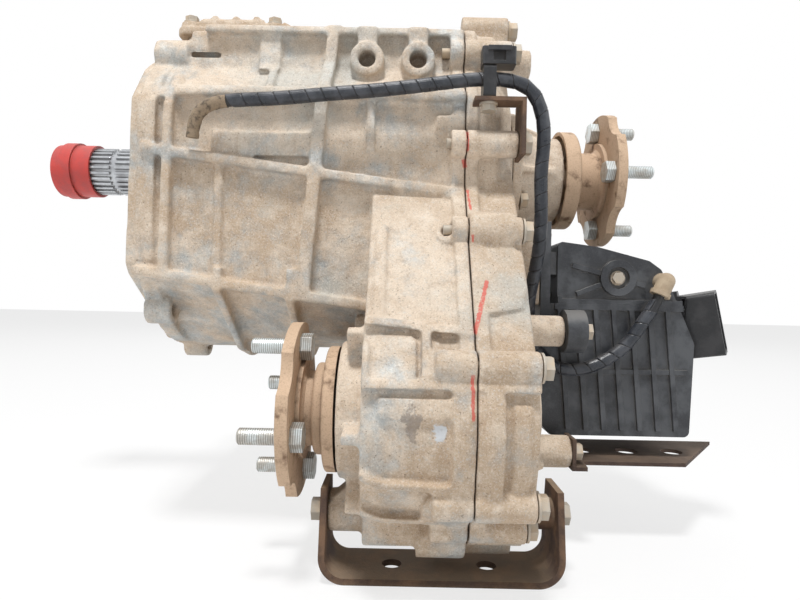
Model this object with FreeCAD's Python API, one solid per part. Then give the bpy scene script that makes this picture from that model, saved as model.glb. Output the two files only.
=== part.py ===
import FreeCAD, Part
import math
import os

# Part-time four-wheel-drive transfer case with a planetary low range, a lockable
# centre differential, a toothed chain to the front output and an electric shift actuator.
# Millimetres.  X runs from the transmission towards the rear axle, Z is up, and the
# origin is on the main shaft in the plane of the transmission face.

V = FreeCAD.Vector

# ---------------------------------------------------------------- driving dimensions
# chain and shaft layout
chain_pitch = 9.525
sprocket_teeth = 37
chain_links = 88
axis_lean_deg = 35.5

# case stations along the main shaft
pilot_height = 10.0
bell_wall_x = 46.0
bell_wall = 14.0
web_x = 90.0
web_thickness = 16.0
chain_case_x = 182.0
split_x = 253.0
rear_case_end = 292.0
case_wall = 7.0

# upper case section
mating_radius = 134.0
mating_centre_z = -30.0
mating_near_flat = 119.0
mating_flange = 14.0
top_z = 104.0
top_near_y = -84.0
near_wall_y = -112.0
near_wall_top_z = 38.0
near_wall_low_front_z = -100.0
near_wall_low_rear_z = -134.0
bottom_z = -166.0
far_wall_y = 118.0
rib_height = 9.0
rib_width = 8.0

# chain case section
chain_case_radius = 76.0
split_flange_width = 4.5
split_flange = 10.0
split_boss_r = 10.5

# bolts
flange_bolt_r = 4.0
washer_face = 1.5
ear_radius = 12.0
high_ear_radius = 15.0
high_ear_x = 28.0
high_ear_recess = 9.0
ear_hole_r = 5.5

# main shaft line
input_spline_r = 22.0
input_spline_depth = 2.2
input_spline_teeth = 26
input_tip_x = -120.0
input_journal_r = 22.5
bearing_od_r = 42.5
bearing_width = 19.0
seal_r = 32.5

# gears
gear_module = 2.0
sun_teeth = 42
planet_teeth = 12
ring_teeth = 66
planet_count = 4
gear_x = 84.0
gear_width = 26.0
diff_sun_teeth = 30
diff_planet_teeth = 14
diff_ring_teeth = 58
diff_x = 166.0
diff_width = 22.0

retainer_bolt_r = 52.0
retainer_bolts = 4

# sprockets and chain
sprocket_x = 229.0
sprocket_width = 24.0

# output flanges
flange_radius = 62.0
flange_thickness = 8.0
stud_pcd = 93.3
stud_r = 5.5
stud_length = 27.0
stud_recess = 2.2
stud_shoulder_r = 6.4
stud_head = 8.0
stud_head_af = 17.0
rear_flange_x = 392.0
front_flange_x = 128.0
front_flange_turn_deg = -14.0

# running and seat clearances
seat_gap = 0.3
running_gap = 0.25
face_gap = 0.05

ring_outer_r = 78.0
front_seal_r = 33.0

# ---------------------------------------------------------------- derived values
tau = 2.0 * math.pi
centre_distance = (chain_links - sprocket_teeth) * chain_pitch / 2.0
lean = math.radians(axis_lean_deg)
front_y = -centre_distance * math.sin(lean)
front_z = -centre_distance * math.cos(lean)
sprocket_r = chain_pitch / (2.0 * math.sin(math.pi / sprocket_teeth))
carrier_r = gear_module * (sun_teeth + planet_teeth) / 2.0
diff_carrier_r = gear_module * (diff_sun_teeth + diff_planet_teeth) / 2.0
web_end = web_x + web_thickness

# ---------------------------------------------------------------- shape helpers


def cyl(radius, x0, x1, y=0.0, z=0.0):
    return Part.makeCylinder(radius, x1 - x0, V(x0, y, z), V(1, 0, 0))


def pipe(outer, inner, x0, x1, y=0.0, z=0.0):
    return cyl(outer, x0, x1, y, z).cut(cyl(inner, x0 - 1, x1 + 1, y, z))


def box(x0, x1, y0, y1, z0, z1):
    return Part.makeBox(x1 - x0, y1 - y0, z1 - z0, V(x0, y0, z0))


def rod(radius, start, end):
    way = end.sub(start)
    return Part.makeCylinder(radius, way.Length, start, way)


def fuse(shapes):
    shapes = list(shapes)
    if len(shapes) == 1:
        return shapes[0]
    return shapes[0].fuse(shapes[1:]).removeSplitter()


def cut(shape, tools):
    return shape.cut(list(tools))


def polygon(points):
    return Part.makePolygon(list(points) + [points[0]])


def prism(points, way):
    return Part.Face(polygon(points)).extrude(way)


def prism_x(points, x0, x1):
    """A solid from (y, z) points, drawn from x0 to x1."""
    return prism([V(x0, y, z) for y, z in points], V(x1 - x0, 0, 0))


def prism_y(points, y0, y1):
    """A solid from (x, z) points, drawn from y0 to y1."""
    return prism([V(x, y0, z) for x, z in points], V(0, y1 - y0, 0))


def rounded_wire(points, x):
    """A closed wire at x from (y, z, corner radius) points, arcs tangent at each corner."""
    count = len(points)
    spots = [V(x, p[0], p[1]) for p in points]
    edges = []
    ends = []
    for i in range(count):
        here = spots[i]
        back = spots[i - 1].sub(here)
        ahead = spots[(i + 1) % count].sub(here)
        half = back.getAngle(ahead) / 2.0
        radius = points[i][2]
        reach = radius / math.tan(half)
        back.normalize()
        ahead.normalize()
        first = here.add(back * reach)
        last = here.add(ahead * reach)
        middle_way = back.add(ahead)
        middle_way.normalize()
        middle = here.add(middle_way * (radius / math.sin(half) - radius))
        ends.append((first, middle, last))
    for i in range(count):
        first, middle, last = ends[i]
        edges.append(Part.Arc(first, middle, last).toShape())
        following = ends[(i + 1) % count][0]
        edges.append(Part.LineSegment(last, following).toShape())
    return Part.Wire(edges)


def loft(first, last):
    return Part.makeLoft([first, last], True, True)


def hull_points(circles):
    """Tangent outline of two circles given as (y, z, radius), as arcs in one wire's data."""
    (y1, z1, r1), (y2, z2, r2) = circles
    length = math.hypot(y2 - y1, z2 - z1)
    uy = (y2 - y1) / length
    uz = (z2 - z1) / length
    cosine = (r1 - r2) / length
    sine = math.sqrt(1.0 - cosine * cosine)
    sides = []
    for turn in (1.0, -1.0):
        ny = cosine * uy - turn * sine * uz
        nz = cosine * uz + turn * sine * uy
        sides.append((ny, nz))
    return sides, (uy, uz)


def hull_wire(circles, x):
    (y1, z1, r1), (y2, z2, r2) = circles
    sides, (uy, uz) = hull_points(circles)
    (ay, az), (by, bz) = sides
    a1 = V(x, y1 + r1 * ay, z1 + r1 * az)
    b1 = V(x, y1 + r1 * by, z1 + r1 * bz)
    a2 = V(x, y2 + r2 * ay, z2 + r2 * az)
    b2 = V(x, y2 + r2 * by, z2 + r2 * bz)
    top = V(x, y1 - r1 * uy, z1 - r1 * uz)
    low = V(x, y2 + r2 * uy, z2 + r2 * uz)
    edges = [Part.LineSegment(a1, a2).toShape()]
    edges.append(Part.Arc(a2, low, b2).toShape())
    edges.append(Part.LineSegment(b2, b1).toShape())
    edges.append(Part.Arc(b1, top, a1).toShape())
    return Part.Wire(edges)


def hull_solid(circles, x0, x1):
    return Part.Face(hull_wire(circles, x0)).extrude(V(x1 - x0, 0, 0))


def hexagon(af, x0, x1, y, z, turn=0.0):
    """A hexagonal prism along X with the given width across flats."""
    radius = af / math.sqrt(3.0)
    points = []
    for i in range(6):
        angle = tau * i / 6 + turn
        points.append((y + radius * math.cos(angle), z + radius * math.sin(angle)))
    return prism_x(points, x0, x1)


def aim(shape, spot, way):
    """Turn a shape made along +X at the origin so that it points along way, then place it."""
    turned = shape.copy()
    turned.Placement = FreeCAD.Placement(spot, FreeCAD.Rotation(V(1, 0, 0), way))
    return turned


def bolt(shank_r, shank, af, head, spot, way):
    """A flanged hex bolt: the shank goes from spot along way, the head stands behind it."""
    pieces = [cyl(shank_r, -0.5, shank)]
    pieces.append(cyl(af * 0.68, -washer_face, 0.0))
    pieces.append(hexagon(af, -head, -washer_face + 0.2, 0.0, 0.0))
    return aim(fuse(pieces), spot, way)


def toothed(count, root, tip, root_share, tip_share, x0, x1, y=0.0, z=0.0, turn=0.0):
    """A disc with straight-sided teeth; shares are of one tooth pitch."""
    points = []
    step = tau / count
    for i in range(count):
        middle = turn + i * step
        for radius, side in ((root, -root_share), (tip, -tip_share), (tip, tip_share), (root, root_share)):
            angle = middle + side * step / 2.0
            points.append((y + radius * math.cos(angle), z + radius * math.sin(angle)))
    return prism_x(points, x0, x1)


def around(count, radius, turn=0.0):
    spots = []
    for k in range(count):
        angle = tau * k / count + turn
        spots.append((radius * math.cos(angle), radius * math.sin(angle), angle))
    return spots


def save(name, shape):
    if shape.ShapeType != "Solid" and len(shape.Solids) == 1:
        shape = shape.Solids[0]
    shape.exportStep("parts/" + name + ".step")
    facets = len(shape.tessellate(0.4)[1])
    print(name, len(shape.Solids), "valid" if shape.isValid() else "INVALID", round(shape.Volume), facets)
    totals.append(facets)
    return shape


totals = []
os.makedirs("parts", exist_ok=True)

# ---------------------------------------------------------------- case castings
belly_slope = 0.68


def upper_section(x, grow=0.0):
    """The outline of the upper case at x, grown outwards by grow."""
    corners = [
        (60.0, top_z, 20.0),
        (top_near_y, top_z, 9.0),
        (top_near_y - 4.0, 70.0, 10.0),
        (near_wall_y, near_wall_top_z, 10.0),
        (near_wall_y - 6.0, near_wall_low_rear_z - 6.0, 14.0),
        (-5.0, bottom_z, 40.0),
        (70.0, bottom_z + 18.0, 30.0),
        (far_wall_y - 8.0, -92.0, 25.0),
        (far_wall_y, 0.0, 30.0),
        (far_wall_y - 18.0, 76.0, 25.0),
    ]
    grown = []
    count = len(corners)
    for i in range(count):
        ay = corners[i - 1][0] - corners[i][0]
        az = corners[i - 1][1] - corners[i][1]
        by = corners[(i + 1) % count][0] - corners[i][0]
        bz = corners[(i + 1) % count][1] - corners[i][1]
        la = math.hypot(ay, az)
        lb = math.hypot(by, bz)
        ay, az, by, bz = ay / la, az / la, by / lb, bz / lb
        half = math.acos(ay * by + az * bz) / 2.0
        my, mz = ay + by, az + bz
        lm = math.hypot(my, mz)
        side = 1.0 if ay * bz - az * by < 0 else -1.0
        reach = side * grow / math.sin(half)
        radius = max(1.0, corners[i][2] + side * grow)
        grown.append((corners[i][0] - my / lm * reach, corners[i][1] - mz / lm * reach, radius))
    return rounded_wire(grown, x)


def belly_wedge(x0, x1, grow=0.0):
    """What lies below the slanted plane that trims the near lower corner of the upper case."""
    fall = (near_wall_low_rear_z - near_wall_low_front_z) / split_x
    shift = grow * math.sqrt(1.0 + fall * fall + belly_slope * belly_slope)
    level = near_wall_low_front_z - shift + fall * (x0 - 1.0)
    near = near_wall_y - 6.0
    points = []
    for y in (near - 100.0, 200.0):
        points.append(V(x0 - 1.0, y, level - belly_slope * (y - near)))
    points.append(V(x0 - 1.0, 200.0, -600.0))
    points.append(V(x0 - 1.0, near - 100.0, -600.0))
    reach = x1 - x0 + 2.0
    return prism(points, V(reach, 0, fall * reach))


def upper_block(x0, x1, grow=0.0):
    block = Part.Face(upper_section(x0, grow)).extrude(V(x1 - x0, 0, 0))
    return block.cut(belly_wedge(x0, x1, grow))


def chain_circles(grow=0.0):
    radius = chain_case_radius + grow
    return ((0.0, 0.0, radius), (front_y, front_z, radius))


def chain_block(x0, x1, grow=0.0):
    return hull_solid(chain_circles(grow), x0, x1)


def about_front(angle_deg, radius):
    angle = math.radians(angle_deg)
    return front_y + radius * math.cos(angle), front_z + radius * math.sin(angle)


near_normal = math.radians(180.0 - axis_lean_deg)
split_bolt_r = chain_case_radius + 3.5
split_spots = [about_front(a, split_bolt_r) for a in (150.0, 216.0, 243.0, 290.0)]
for side, along in ((1.0, 104.0), (-1.0, 6.0), (-1.0, 66.0)):
    spot_y = front_y + side * split_bolt_r * math.cos(near_normal) + along * math.sin(lean)
    spot_z = front_z + side * split_bolt_r * math.sin(near_normal) + along * math.cos(lean)
    split_spots.append((spot_y, spot_z))
leg_bolt = (near_wall_y - 10.0, 2.0)
split_spots += [leg_bolt, (top_near_y - 6.0, 84.0), (-30.0, top_z + 10.0)]
split_spots += [(18.0, top_z + 8.0), (66.0, top_z + 5.0), (far_wall_y - 2.0, 52.0)]
split_spots += [(far_wall_y + 4.0, -40.0), (78.0, -136.0)]

ear_spots = []
for angle_deg in (125.0, 55.0, 20.0, -14.0, -48.0, -90.0, -132.0):
    angle = math.radians(angle_deg)
    ear_spots.append((mating_radius * math.cos(angle), mating_centre_z + mating_radius * math.sin(angle)))

bearing_seat_x = bell_wall_x + 4.0
retainer_x = bearing_seat_x - 8.0

# boss stations on the near side
rib_a_front_z = near_wall_top_z
rib_b = ((4.0, -5.0), (split_x, -36.0))
rail_y = (-66.0, -44.0)
rail_z = -84.0
rail_r = 7.0
blind_boss_x = (174.5, 215.5)
blind_boss_z = 75.0
blind_boss_r = 14.0
blind_hole_r = 6.9
blind_hole = 18.0
blind_face_y = -101.0

# the cover on top of the front case
cover_x = (10.0, 124.0)
cover_y = (-72.0, 52.0)
cover_base = 7.0
cover_rise = 18.0
cover_bolts = [(20.0, -60.0), (92.0, -60.0), (20.0, 40.0), (92.0, 40.0), (102.0, -10.0), (20.0, -10.0)]
cover_hole = (34.0, 80.0, -44.0, 26.0)

front_bearing_x = (170.0, 188.0)
front_bearing_r = 40.0
front_boss_r = 49.0
strap_bolt_z = -269.0
strap_x = (153.0, 321.0)
strap_thickness = 4.5
strap_width = 50.0
strap_bottom_z = -312.0
strap_y = front_y - 6.0


relief = 6.5


def thumb(x0, x1, z0, z1):
    """An upright bar with round ends, as a plan."""
    half = (x1 - x0) / 2.0
    points = []
    for k in range(7):
        angle = math.pi * k / 6.0
        points.append((x0 + half + half * math.cos(angle), z1 - half + half * math.sin(angle)))
    for k in range(7):
        angle = math.pi + math.pi * k / 6.0
        points.append((x0 + half + half * math.cos(angle), z0 + half + half * math.sin(angle)))
    return points


def chain_relief():
    x = chain_case_x
    end = split_x
    plans = [[(x, -134.0), (end, -140.0), (end, -135.5), (x, -128.0)]]
    plans.append([(x, -173.0), (x + 5.0, -172.0), (end, -172.0), (end, -166.5), (x, -166.0)])
    plans.append([(x, -222.0), (x + 14.0, -228.0), (end, -231.0), (end, -236.0), (x + 12.0, -233.0), (x, -227.0)])
    plans.append([(x, -248.0), (x + 14.0, -256.0), (end, -259.0), (end, -264.0), (x + 12.0, -261.0), (x, -254.0)])
    plans.append([(x, -166.0), (x + 5.0, -166.0), (x + 5.0, -146.0), (x, -142.0)])
    plans.append([(x + 37.0, -168.0), (x + 43.0, -168.0), (x + 43.0, -136.0), (x + 37.0, -136.0)])
    plans.append(thumb(end - 15.0, end - 4.0, -254.0, -150.0))
    plans.append([(end - 32.0, -258.0), (end, -258.0), (end, -238.0), (end - 27.0, -238.0), (end - 32.0, -244.0)])
    return plans


def low_chain_relief():
    x = chain_case_x
    plans = [[(x + 11.0, -187.0), (x + 13.0, -190.0), (x + 50.0, -191.0), (x + 55.0, -187.0), (x + 55.0, -177.0), (x + 11.0, -177.0)]]
    plans.append([(x + 5.0, -128.0), (x + 13.0, -128.0), (x + 13.0, -34.0), (x + 5.0, -34.0)])
    plans.append(thumb(x + 48.0, x + 62.0, -76.0, -30.0))
    plans.append([(x + 8.0, -164.0), (x + 34.0, -164.0), (x + 34.0, -144.0), (x + 31.0, -141.0), (x + 11.0, -141.0), (x + 8.0, -144.0)])
    return plans


def make_front_case():
    grown = upper_block(0.0, split_x, rib_height)
    outer = upper_block(0.0, split_x)
    # the front end is round: its high corners are trimmed to the mating circle
    circle = cyl(mating_radius, -1.0, high_ear_x + 1.0, 0.0, mating_centre_z)
    corner = box(-1.0, high_ear_x, -200.0, 200.0, mating_centre_z + 60.0, 300.0).cut(circle)
    slope = prism([V(high_ear_x - 1.0, -200, 60), V(high_ear_x - 1.0, -200, 300), V(high_ear_x + 22.0, -200, 300)], V(0, 105, 0))
    outer = outer.cut([corner, slope])
    grown = grown.cut([corner, slope])
    chain_outer = chain_block(chain_case_x, split_x)
    parts = [outer, chain_outer]
    # the flange at the transmission face, flat on the near side
    face = cyl(mating_radius, 0.0, mating_flange, 0.0, mating_centre_z)
    face = face.cut(box(-1.0, mating_flange + 1.0, -200.0, -mating_near_flat, -200.0, 200.0))
    parts.append(face)
    for y, z in ear_spots[2:]:
        parts.append(cyl(ear_radius, 0.0, mating_flange + 8.0, y, z))
    # ribs: plan shapes driven through the wall and trimmed to an even height
    half = rib_width / 2.0
    plans = []
    plans.append([(0.0, rib_a_front_z - 2.0), (split_x, rib_a_front_z - 2.0), (split_x, rib_a_front_z + 7.0),
                  (0.0, rib_a_front_z + 7.0)])
    (bx0, bz0), (bx1, bz1) = rib_b
    plans.append([(bx0, bz0 - half), (bx1, bz1 - half), (bx1, bz1 + half), (bx0, bz0 + half)])
    low0 = near_wall_low_front_z
    low1 = near_wall_low_rear_z
    plans.append([(0.0, low0 - 3.0), (split_x, low1 - 3.0), (split_x, low1 + 5.0), (0.0, low0 + 5.0)])
    plans.append([(142.0, top_z + 2.0), (152.0, top_z + 2.0), (136.0, low0 - 18.0), (125.0, low0 - 18.0)])
    plans.append([(high_ear_x + 14.0, top_z - 7.0), (split_x, top_z - 7.0), (split_x, top_z), (high_ear_x + 14.0, top_z)])
    plans.append([(20.0, 60.0), (28.0, 60.0), (28.0, low0), (20.0, low0)])
    grown_near = grown.common(box(-1.0, split_x + 1.0, -200.0, -60.0, -200.0, 200.0))
    for plan in plans:
        parts.append(prism_y(plan, -170.0, -62.0).common(grown_near))
    # low secondary ribs and pads, half as high
    slight = upper_block(0.0, split_x, rib_height * 0.5)
    for x0, x1, z0, z1 in ((176.0, 183.0, -4.0, 38.0), (230.0, 243.0, 10.0, 26.0), (57.0, 142.0, -9.0, 10.0),
                           (86.0, 104.0, 66.0, 96.0), (60.0, 67.0, -110.0, -8.0), (96.0, 102.0, 38.0, 66.0)):
        parts.append(box(x0, x1, -170.0, -62.0, z0, z1).common(slight))
    # under-side ribs that turn round the belly
    for x0 in (62.0, 118.0):
        belly = grown.common(box(x0, x0 + 7.0, -200.0, 200.0, -220.0, -96.0))
        parts.append(belly)
    # two tapped bosses that face the near side
    for x in blind_boss_x:
        parts.append(rod(blind_boss_r, V(x, blind_face_y, blind_boss_z), V(x, -70.0, blind_boss_z)))
        parts.append(box(x - 8.0, x + 8.0, blind_face_y + 4.0, -70.0, blind_boss_z, top_z - 1.0))
    # the flange of the split line with its bolt bosses
    parts.append(upper_block(split_x - split_flange, split_x, split_flange_width))
    parts.append(chain_block(split_x - split_flange, split_x, split_flange_width))
    for y, z in split_spots:
        reach = 26.0 if z < front_z + 60.0 else 12.0
        parts.append(cyl(split_boss_r, split_x - reach, split_x, y, z))
    # the neck round the front output and its ribs
    parts.append(cyl(front_boss_r, front_bearing_x[0] - 6.0, chain_case_x + 1.0, front_y, front_z))
    for k in range(6):
        angle = math.radians(35.0 + 60.0 * k)
        web = box(chain_case_x - 12.0, chain_case_x + 1.0, -3.5, 3.5, 40.0, chain_case_radius - 3.0)
        web.rotate(V(0, 0, 0), V(1, 0, 0), math.degrees(angle))
        web.translate(V(0, front_y, front_z))
        parts.append(web)
    # raised work on the near side of the chain case, driven through its skin and trimmed to an even height
    skin = chain_block(chain_case_x, split_x, relief)
    low_skin = chain_block(chain_case_x, split_x, relief * 0.5)
    for plan in chain_relief():
        parts.append(prism_y(plan, -260.0, front_y).common(skin))
    for plan in low_chain_relief():
        parts.append(prism_y(plan, -260.0, front_y).common(low_skin))
    # lug for the guard strap and feet under the chain case
    lug_x1 = chain_case_x + 14.0
    parts.append(rod(15.0, V(strap_x[0] + strap_thickness, strap_y, strap_bolt_z), V(lug_x1, strap_y, strap_bolt_z)))
    parts.append(box(chain_case_x, split_x, front_y - 30.0, front_y + 24.0, -286.0, front_z - 60.0))
    parts.append(cyl(13.0, split_x - 34.0, split_x, front_y - 22.0, -282.0))
    parts.append(cyl(11.0, split_x - 22.0, split_x, front_y + 6.0, -292.0))
    # gusset from the strap lug to the case
    x1 = lug_x1
    gusset = [(strap_x[0] + strap_thickness + 3.0, -258.0), (chain_case_x, -238.0), (x1, -238.0), (x1, -283.0), (strap_x[0] + strap_thickness + 3.0, -280.0)]
    parts.append(prism_y(gusset, strap_y - 11.0, strap_y + 11.0))
    # locating lip that enters the transmission
    bell_round = cyl(mating_radius - case_wall - 1.0, -pilot_height - 2.0, bell_wall_x + 1.0, 0.0, mating_centre_z)
    lip = upper_block(-pilot_height, 1.0, -3.0).common(cyl(mating_radius - 4.0, -pilot_height, 1.0, 0.0, mating_centre_z))
    lip = lip.cut(upper_block(-pilot_height - 1.0, 2.0, -case_wall).common(bell_round))
    parts.append(lip)
    for y, z in ear_spots[:2]:
        parts.append(cyl(high_ear_radius, 0.0, high_ear_x, y, z))
    body = fuse(parts)
    # hollow it: bell, gear bay, chain bay
    cavities = [upper_block(-1.0, bell_wall_x, -case_wall).common(bell_round)]
    cavities.append(upper_block(bell_wall_x + bell_wall, web_x, -case_wall))
    cavities.append(upper_block(web_end, split_x + 1.0, -case_wall))
    cavities.append(chain_block(chain_case_x + case_wall, split_x + 1.0, -case_wall))
    inside = [pipe(bearing_od_r + 9.0, bearing_od_r - 5.0, bell_wall_x + bell_wall - 1.0, bearing_seat_x + bearing_width + 5.0)]
    inside.append(cyl(front_boss_r - 1.0, chain_case_x + case_wall - 1.0, front_bearing_x[1] + 6.0, front_y, front_z))
    body = body.cut(cavities)
    body = body.fuse(inside)
    # blend of the front bore row
    holes = [cyl(bearing_od_r, bearing_seat_x, bearing_seat_x + bearing_width)]
    holes.append(cyl(bearing_od_r + 0.6, bell_wall_x - 1.0, bearing_seat_x))
    holes.append(cyl(bearing_od_r - 5.0, bell_wall_x - 1.0, bearing_seat_x + bearing_width + 6.0))
    holes.append(cyl(ring_outer_r, web_x - 1.0, web_end + 1.0))
    for y, z, angle in around(retainer_bolts, retainer_bolt_r, math.pi / 4.0):
        holes.append(cyl(3.0, bell_wall_x - 1.0, bell_wall_x + 11.0, y, z))
    for y in rail_y:
        holes.append(cyl(rail_r + 0.05, web_x + 4.0, web_end + 1.0, y, rail_z))
    holes.append(cyl(front_bearing_r, front_bearing_x[0], front_bearing_x[1], front_y, front_z))
    holes.append(cyl(front_seal_r, front_bearing_x[0] - 8.0, front_bearing_x[0] + 1.0, front_y, front_z))
    holes.append(cyl(front_bearing_r - 4.0, front_bearing_x[0], front_bearing_x[1] + 8.0, front_y, front_z))
    for y, z in ear_spots:
        holes.append(cyl(ear_hole_r, -1.0, high_ear_x + 1.0, y, z))
    for y, z in ear_spots[:2]:
        holes.append(cyl(high_ear_recess, high_ear_x, high_ear_x + 26.0, y, z))
    for y, z in split_spots:
        holes.append(cyl(flange_bolt_r, split_x - 19.0, split_x + 1.0, y, z))
    for x in blind_boss_x:
        holes.append(rod(blind_hole_r, V(x, blind_face_y - 1.0, blind_boss_z), V(x, blind_face_y + blind_hole, blind_boss_z)))
    x0, x1, y0, y1 = cover_hole
    holes.append(box(x0, x1, y0, y1, 60.0, top_z + 20.0))
    for x, y in cover_bolts:
        holes.append(rod(3.0, V(x, y, top_z + 10.0), V(x, y, top_z - 12.0)))
    holes.append(rod(5.0, V(strap_x[0], strap_y, strap_bolt_z), V(strap_x[0] + 30.0, strap_y, strap_bolt_z)))
    body = body.cut(holes)
    return body.removeSplitter()


# ---------------------------------------------------------------- rear half of the case
rear_wall = 8.0
rear_wall_x = rear_case_end - rear_wall
main_rear_bearing_r = 45.0
main_rear_bearing_x = (268.0, 288.0)
front_rear_bearing_r = 36.0
front_rear_bearing_x = (262.0, 279.0)
extension_flange_r = 62.0
extension_end = 351.0
extension_bolts = 6
rear_tube_r = 40.0
actuator_x = 322.0
rail_tower_r = 13.0


def make_rear_case():
    end = rear_case_end
    parts = [upper_block(split_x, rear_wall_x - 6.0), chain_block(split_x, end)]
    parts.append(loft(upper_section_rear(rear_wall_x - 6.0, 0.0), upper_section_rear(end, -16.0)))
    parts.append(upper_block(split_x, split_x + split_flange, split_flange_width))
    parts.append(chain_block(split_x, split_x + split_flange, split_flange_width))
    for y, z in split_spots:
        parts.append(cyl(split_boss_r, split_x, end, y, z))
    mid_y, mid_z = split_spots[4]
    parts.append(cyl(15.0, split_x + 2.0, end - 7.0, mid_y + 3.0, mid_z - 1.0))
    # seat of the extension and the bearing tower of the front output
    parts.append(cyl(extension_flange_r + 2.0, end - 2.0, end + 8.0))
    parts.append(cyl(46.0, end - 2.0, end + 7.0, front_y, front_z))
    parts.append(cyl(30.0, end + 5.0, end + 12.0, front_y, front_z))
    # towers the shift rails come out of
    parts.append(box(end - 2.0, actuator_x, tower_near_y, tower_far_y, tower_z[0], tower_z[1]))
    # radial ribs on the back face
    for k in range(7):
        angle = 100.0 - 38.0 * k
        rib = box(end - 4.0, end + 5.0, 58.0, 86.0, -3.0, 3.0)
        rib.rotate(V(0, 0, 0), V(1, 0, 0), angle)
        parts.append(rib)
    for k in range(5):
        rib = box(end - 4.0, end + 5.0, 42.0, 67.0, -3.0, 3.0)
        rib.rotate(V(0, 0, 0), V(1, 0, 0), 150.0 + 50.0 * k)
        rib.translate(V(0, front_y, front_z))
        parts.append(rib)
    # blind bosses that stand off the back near the near side
    for y, z, radius, reach in rear_posts:
        parts.append(cyl(radius, end - 6.0, end + reach, y, z))
    for y, z in plug_spots:
        parts.append(cyl(15.0, end - 9.0, end + 3.0, y, z))
    # the bolt tower at the top and the strap foot
    parts.append(cyl(11.5, split_x, end + 1.0, -60.0, top_z + 12.0))
    parts.append(box(split_x, end, -70.0, -50.0, top_z - 8.0, top_z + 12.0))
    parts.append(box(split_x, end, front_y - 30.0, front_y + 24.0, -284.0, front_z - 60.0))
    parts.append(cyl(12.0, split_x, end - 4.0, front_y + 2.0, -290.0))
    # outside ribs of the chain case
    skin = chain_block(split_x, end, relief)
    low_skin = chain_block(split_x, end, relief * 0.5)
    for plan in ([(split_x, -172.0), (end, -173.0), (end, -166.0), (split_x, -166.5)], thumb(split_x + 6.0, split_x + 17.0, -250.0, -172.0),
                 [(split_x, -262.0), (end - 8.0, -258.0), (end - 2.0, -240.0), (end - 10.0, -238.0), (split_x + 20.0, -250.0), (split_x, -254.0)]):
        parts.append(prism_y(plan, -260.0, front_y).common(skin))
    for plan in ([(split_x + 22.0, -236.0), (end - 6.0, -236.0), (end - 6.0, -180.0), (split_x + 22.0, -180.0)],
                 [(split_x + 8.0, -126.0), (end - 6.0, -122.0), (end - 1.0, -110.0), (end - 1.0, -84.0), (end - 8.0, -78.0), (split_x + 8.0, -78.0)]):
        parts.append(prism_y(plan, -260.0, front_y).common(low_skin))
    body = fuse(parts)
    cavities = [upper_block(split_x - 1.0, rear_wall_x - 10.0, -case_wall)]
    cavities.append(chain_block(split_x - 1.0, rear_wall_x, -case_wall))
    body = body.cut(cavities)
    inside = [cyl(main_rear_bearing_r + 9.0, main_rear_bearing_x[0] - 2.0, end)]
    inside.append(cyl(front_rear_bearing_r + 8.0, front_rear_bearing_x[0] - 2.0, end, front_y, front_z))
    inside.append(box(rear_wall_x - 12.0, end, rail_y[0] - 16.0, rail_y[1] + 16.0, rail_z - 16.0, rail_z + 16.0))
    body = body.fuse(inside)
    holes = [cyl(main_rear_bearing_r, main_rear_bearing_x[0] - 3.0, main_rear_bearing_x[1])]
    holes.append(cyl(main_rear_bearing_r - 5.0, main_rear_bearing_x[1] - 1.0, end + 9.0))
    holes.append(cyl(front_rear_bearing_r, front_rear_bearing_x[0] - 3.0, front_rear_bearing_x[1], front_y, front_z))
    holes.append(cyl(front_rear_bearing_r - 5.0, front_rear_bearing_x[1] - 1.0, end - 2.0, front_y, front_z))
    for y in rail_y:
        holes.append(cyl(rail_r + 0.05, rear_wall_x - 14.0, actuator_x + 1.0, y, rail_z))
    for y, z in split_spots:
        holes.append(cyl(flange_bolt_r, split_x - 1.0, end + 1.0, y, z))
    for k in range(extension_bolts):
        angle = tau * (k + 0.5) / extension_bolts
        y = (extension_flange_r - 7.0) * math.cos(angle)
        z = (extension_flange_r - 7.0) * math.sin(angle)
        holes.append(cyl(flange_bolt_r, end - 6.0, end + 9.0, y, z))
    for y, z, radius, reach in rear_posts:
        holes.append(cyl(5.0, end + reach - 14.0, end + reach + 1.0, y, z))
    holes.append(cyl(4.0, end - 16.0, end + 2.0, -60.0, top_z + 12.0))
    for y, z in actuator_bolt_spots:
        holes.append(cyl(3.0, actuator_x - 14.0, actuator_x + 1.0, y, z))
    for y, z in plug_spots:
        holes.append(cyl(plug_r, end - 14.0, end + 9.0, y, z))
        holes.append(cyl(13.5, end + 3.0, end + 12.0, y, z))
    holes.append(cyl(extension_flange_r + 1.0, end + 8.0, end + 60.0))
    body = body.cut(holes)
    return body.removeSplitter()


def upper_section_rear(x, grow):
    return upper_section(x, grow)


rear_posts = [
    (-104.0, -140.0, 12.5, 42.0),
    (-100.0, -236.0, 13.0, 50.0),
    (-62.0, 86.0, 13.0, 20.0),
    (strap_y, strap_bolt_z, 12.0, 8.0),
]
tower_near_y = rail_y[0] - 14.0
tower_far_y = rail_y[1] + 30.0
tower_z = (rail_z - 36.0, rail_z + 34.0)
actuator_bolt_spots = [(-56.0, tower_z[1] - 9.0), (-56.0, tower_z[0] + 9.0), (-25.0, rail_z)]
plug_spots = [(front_y + 13.0, front_z - 54.0), (-72.0, -150.0)]
plug_r = 9.0


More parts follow.
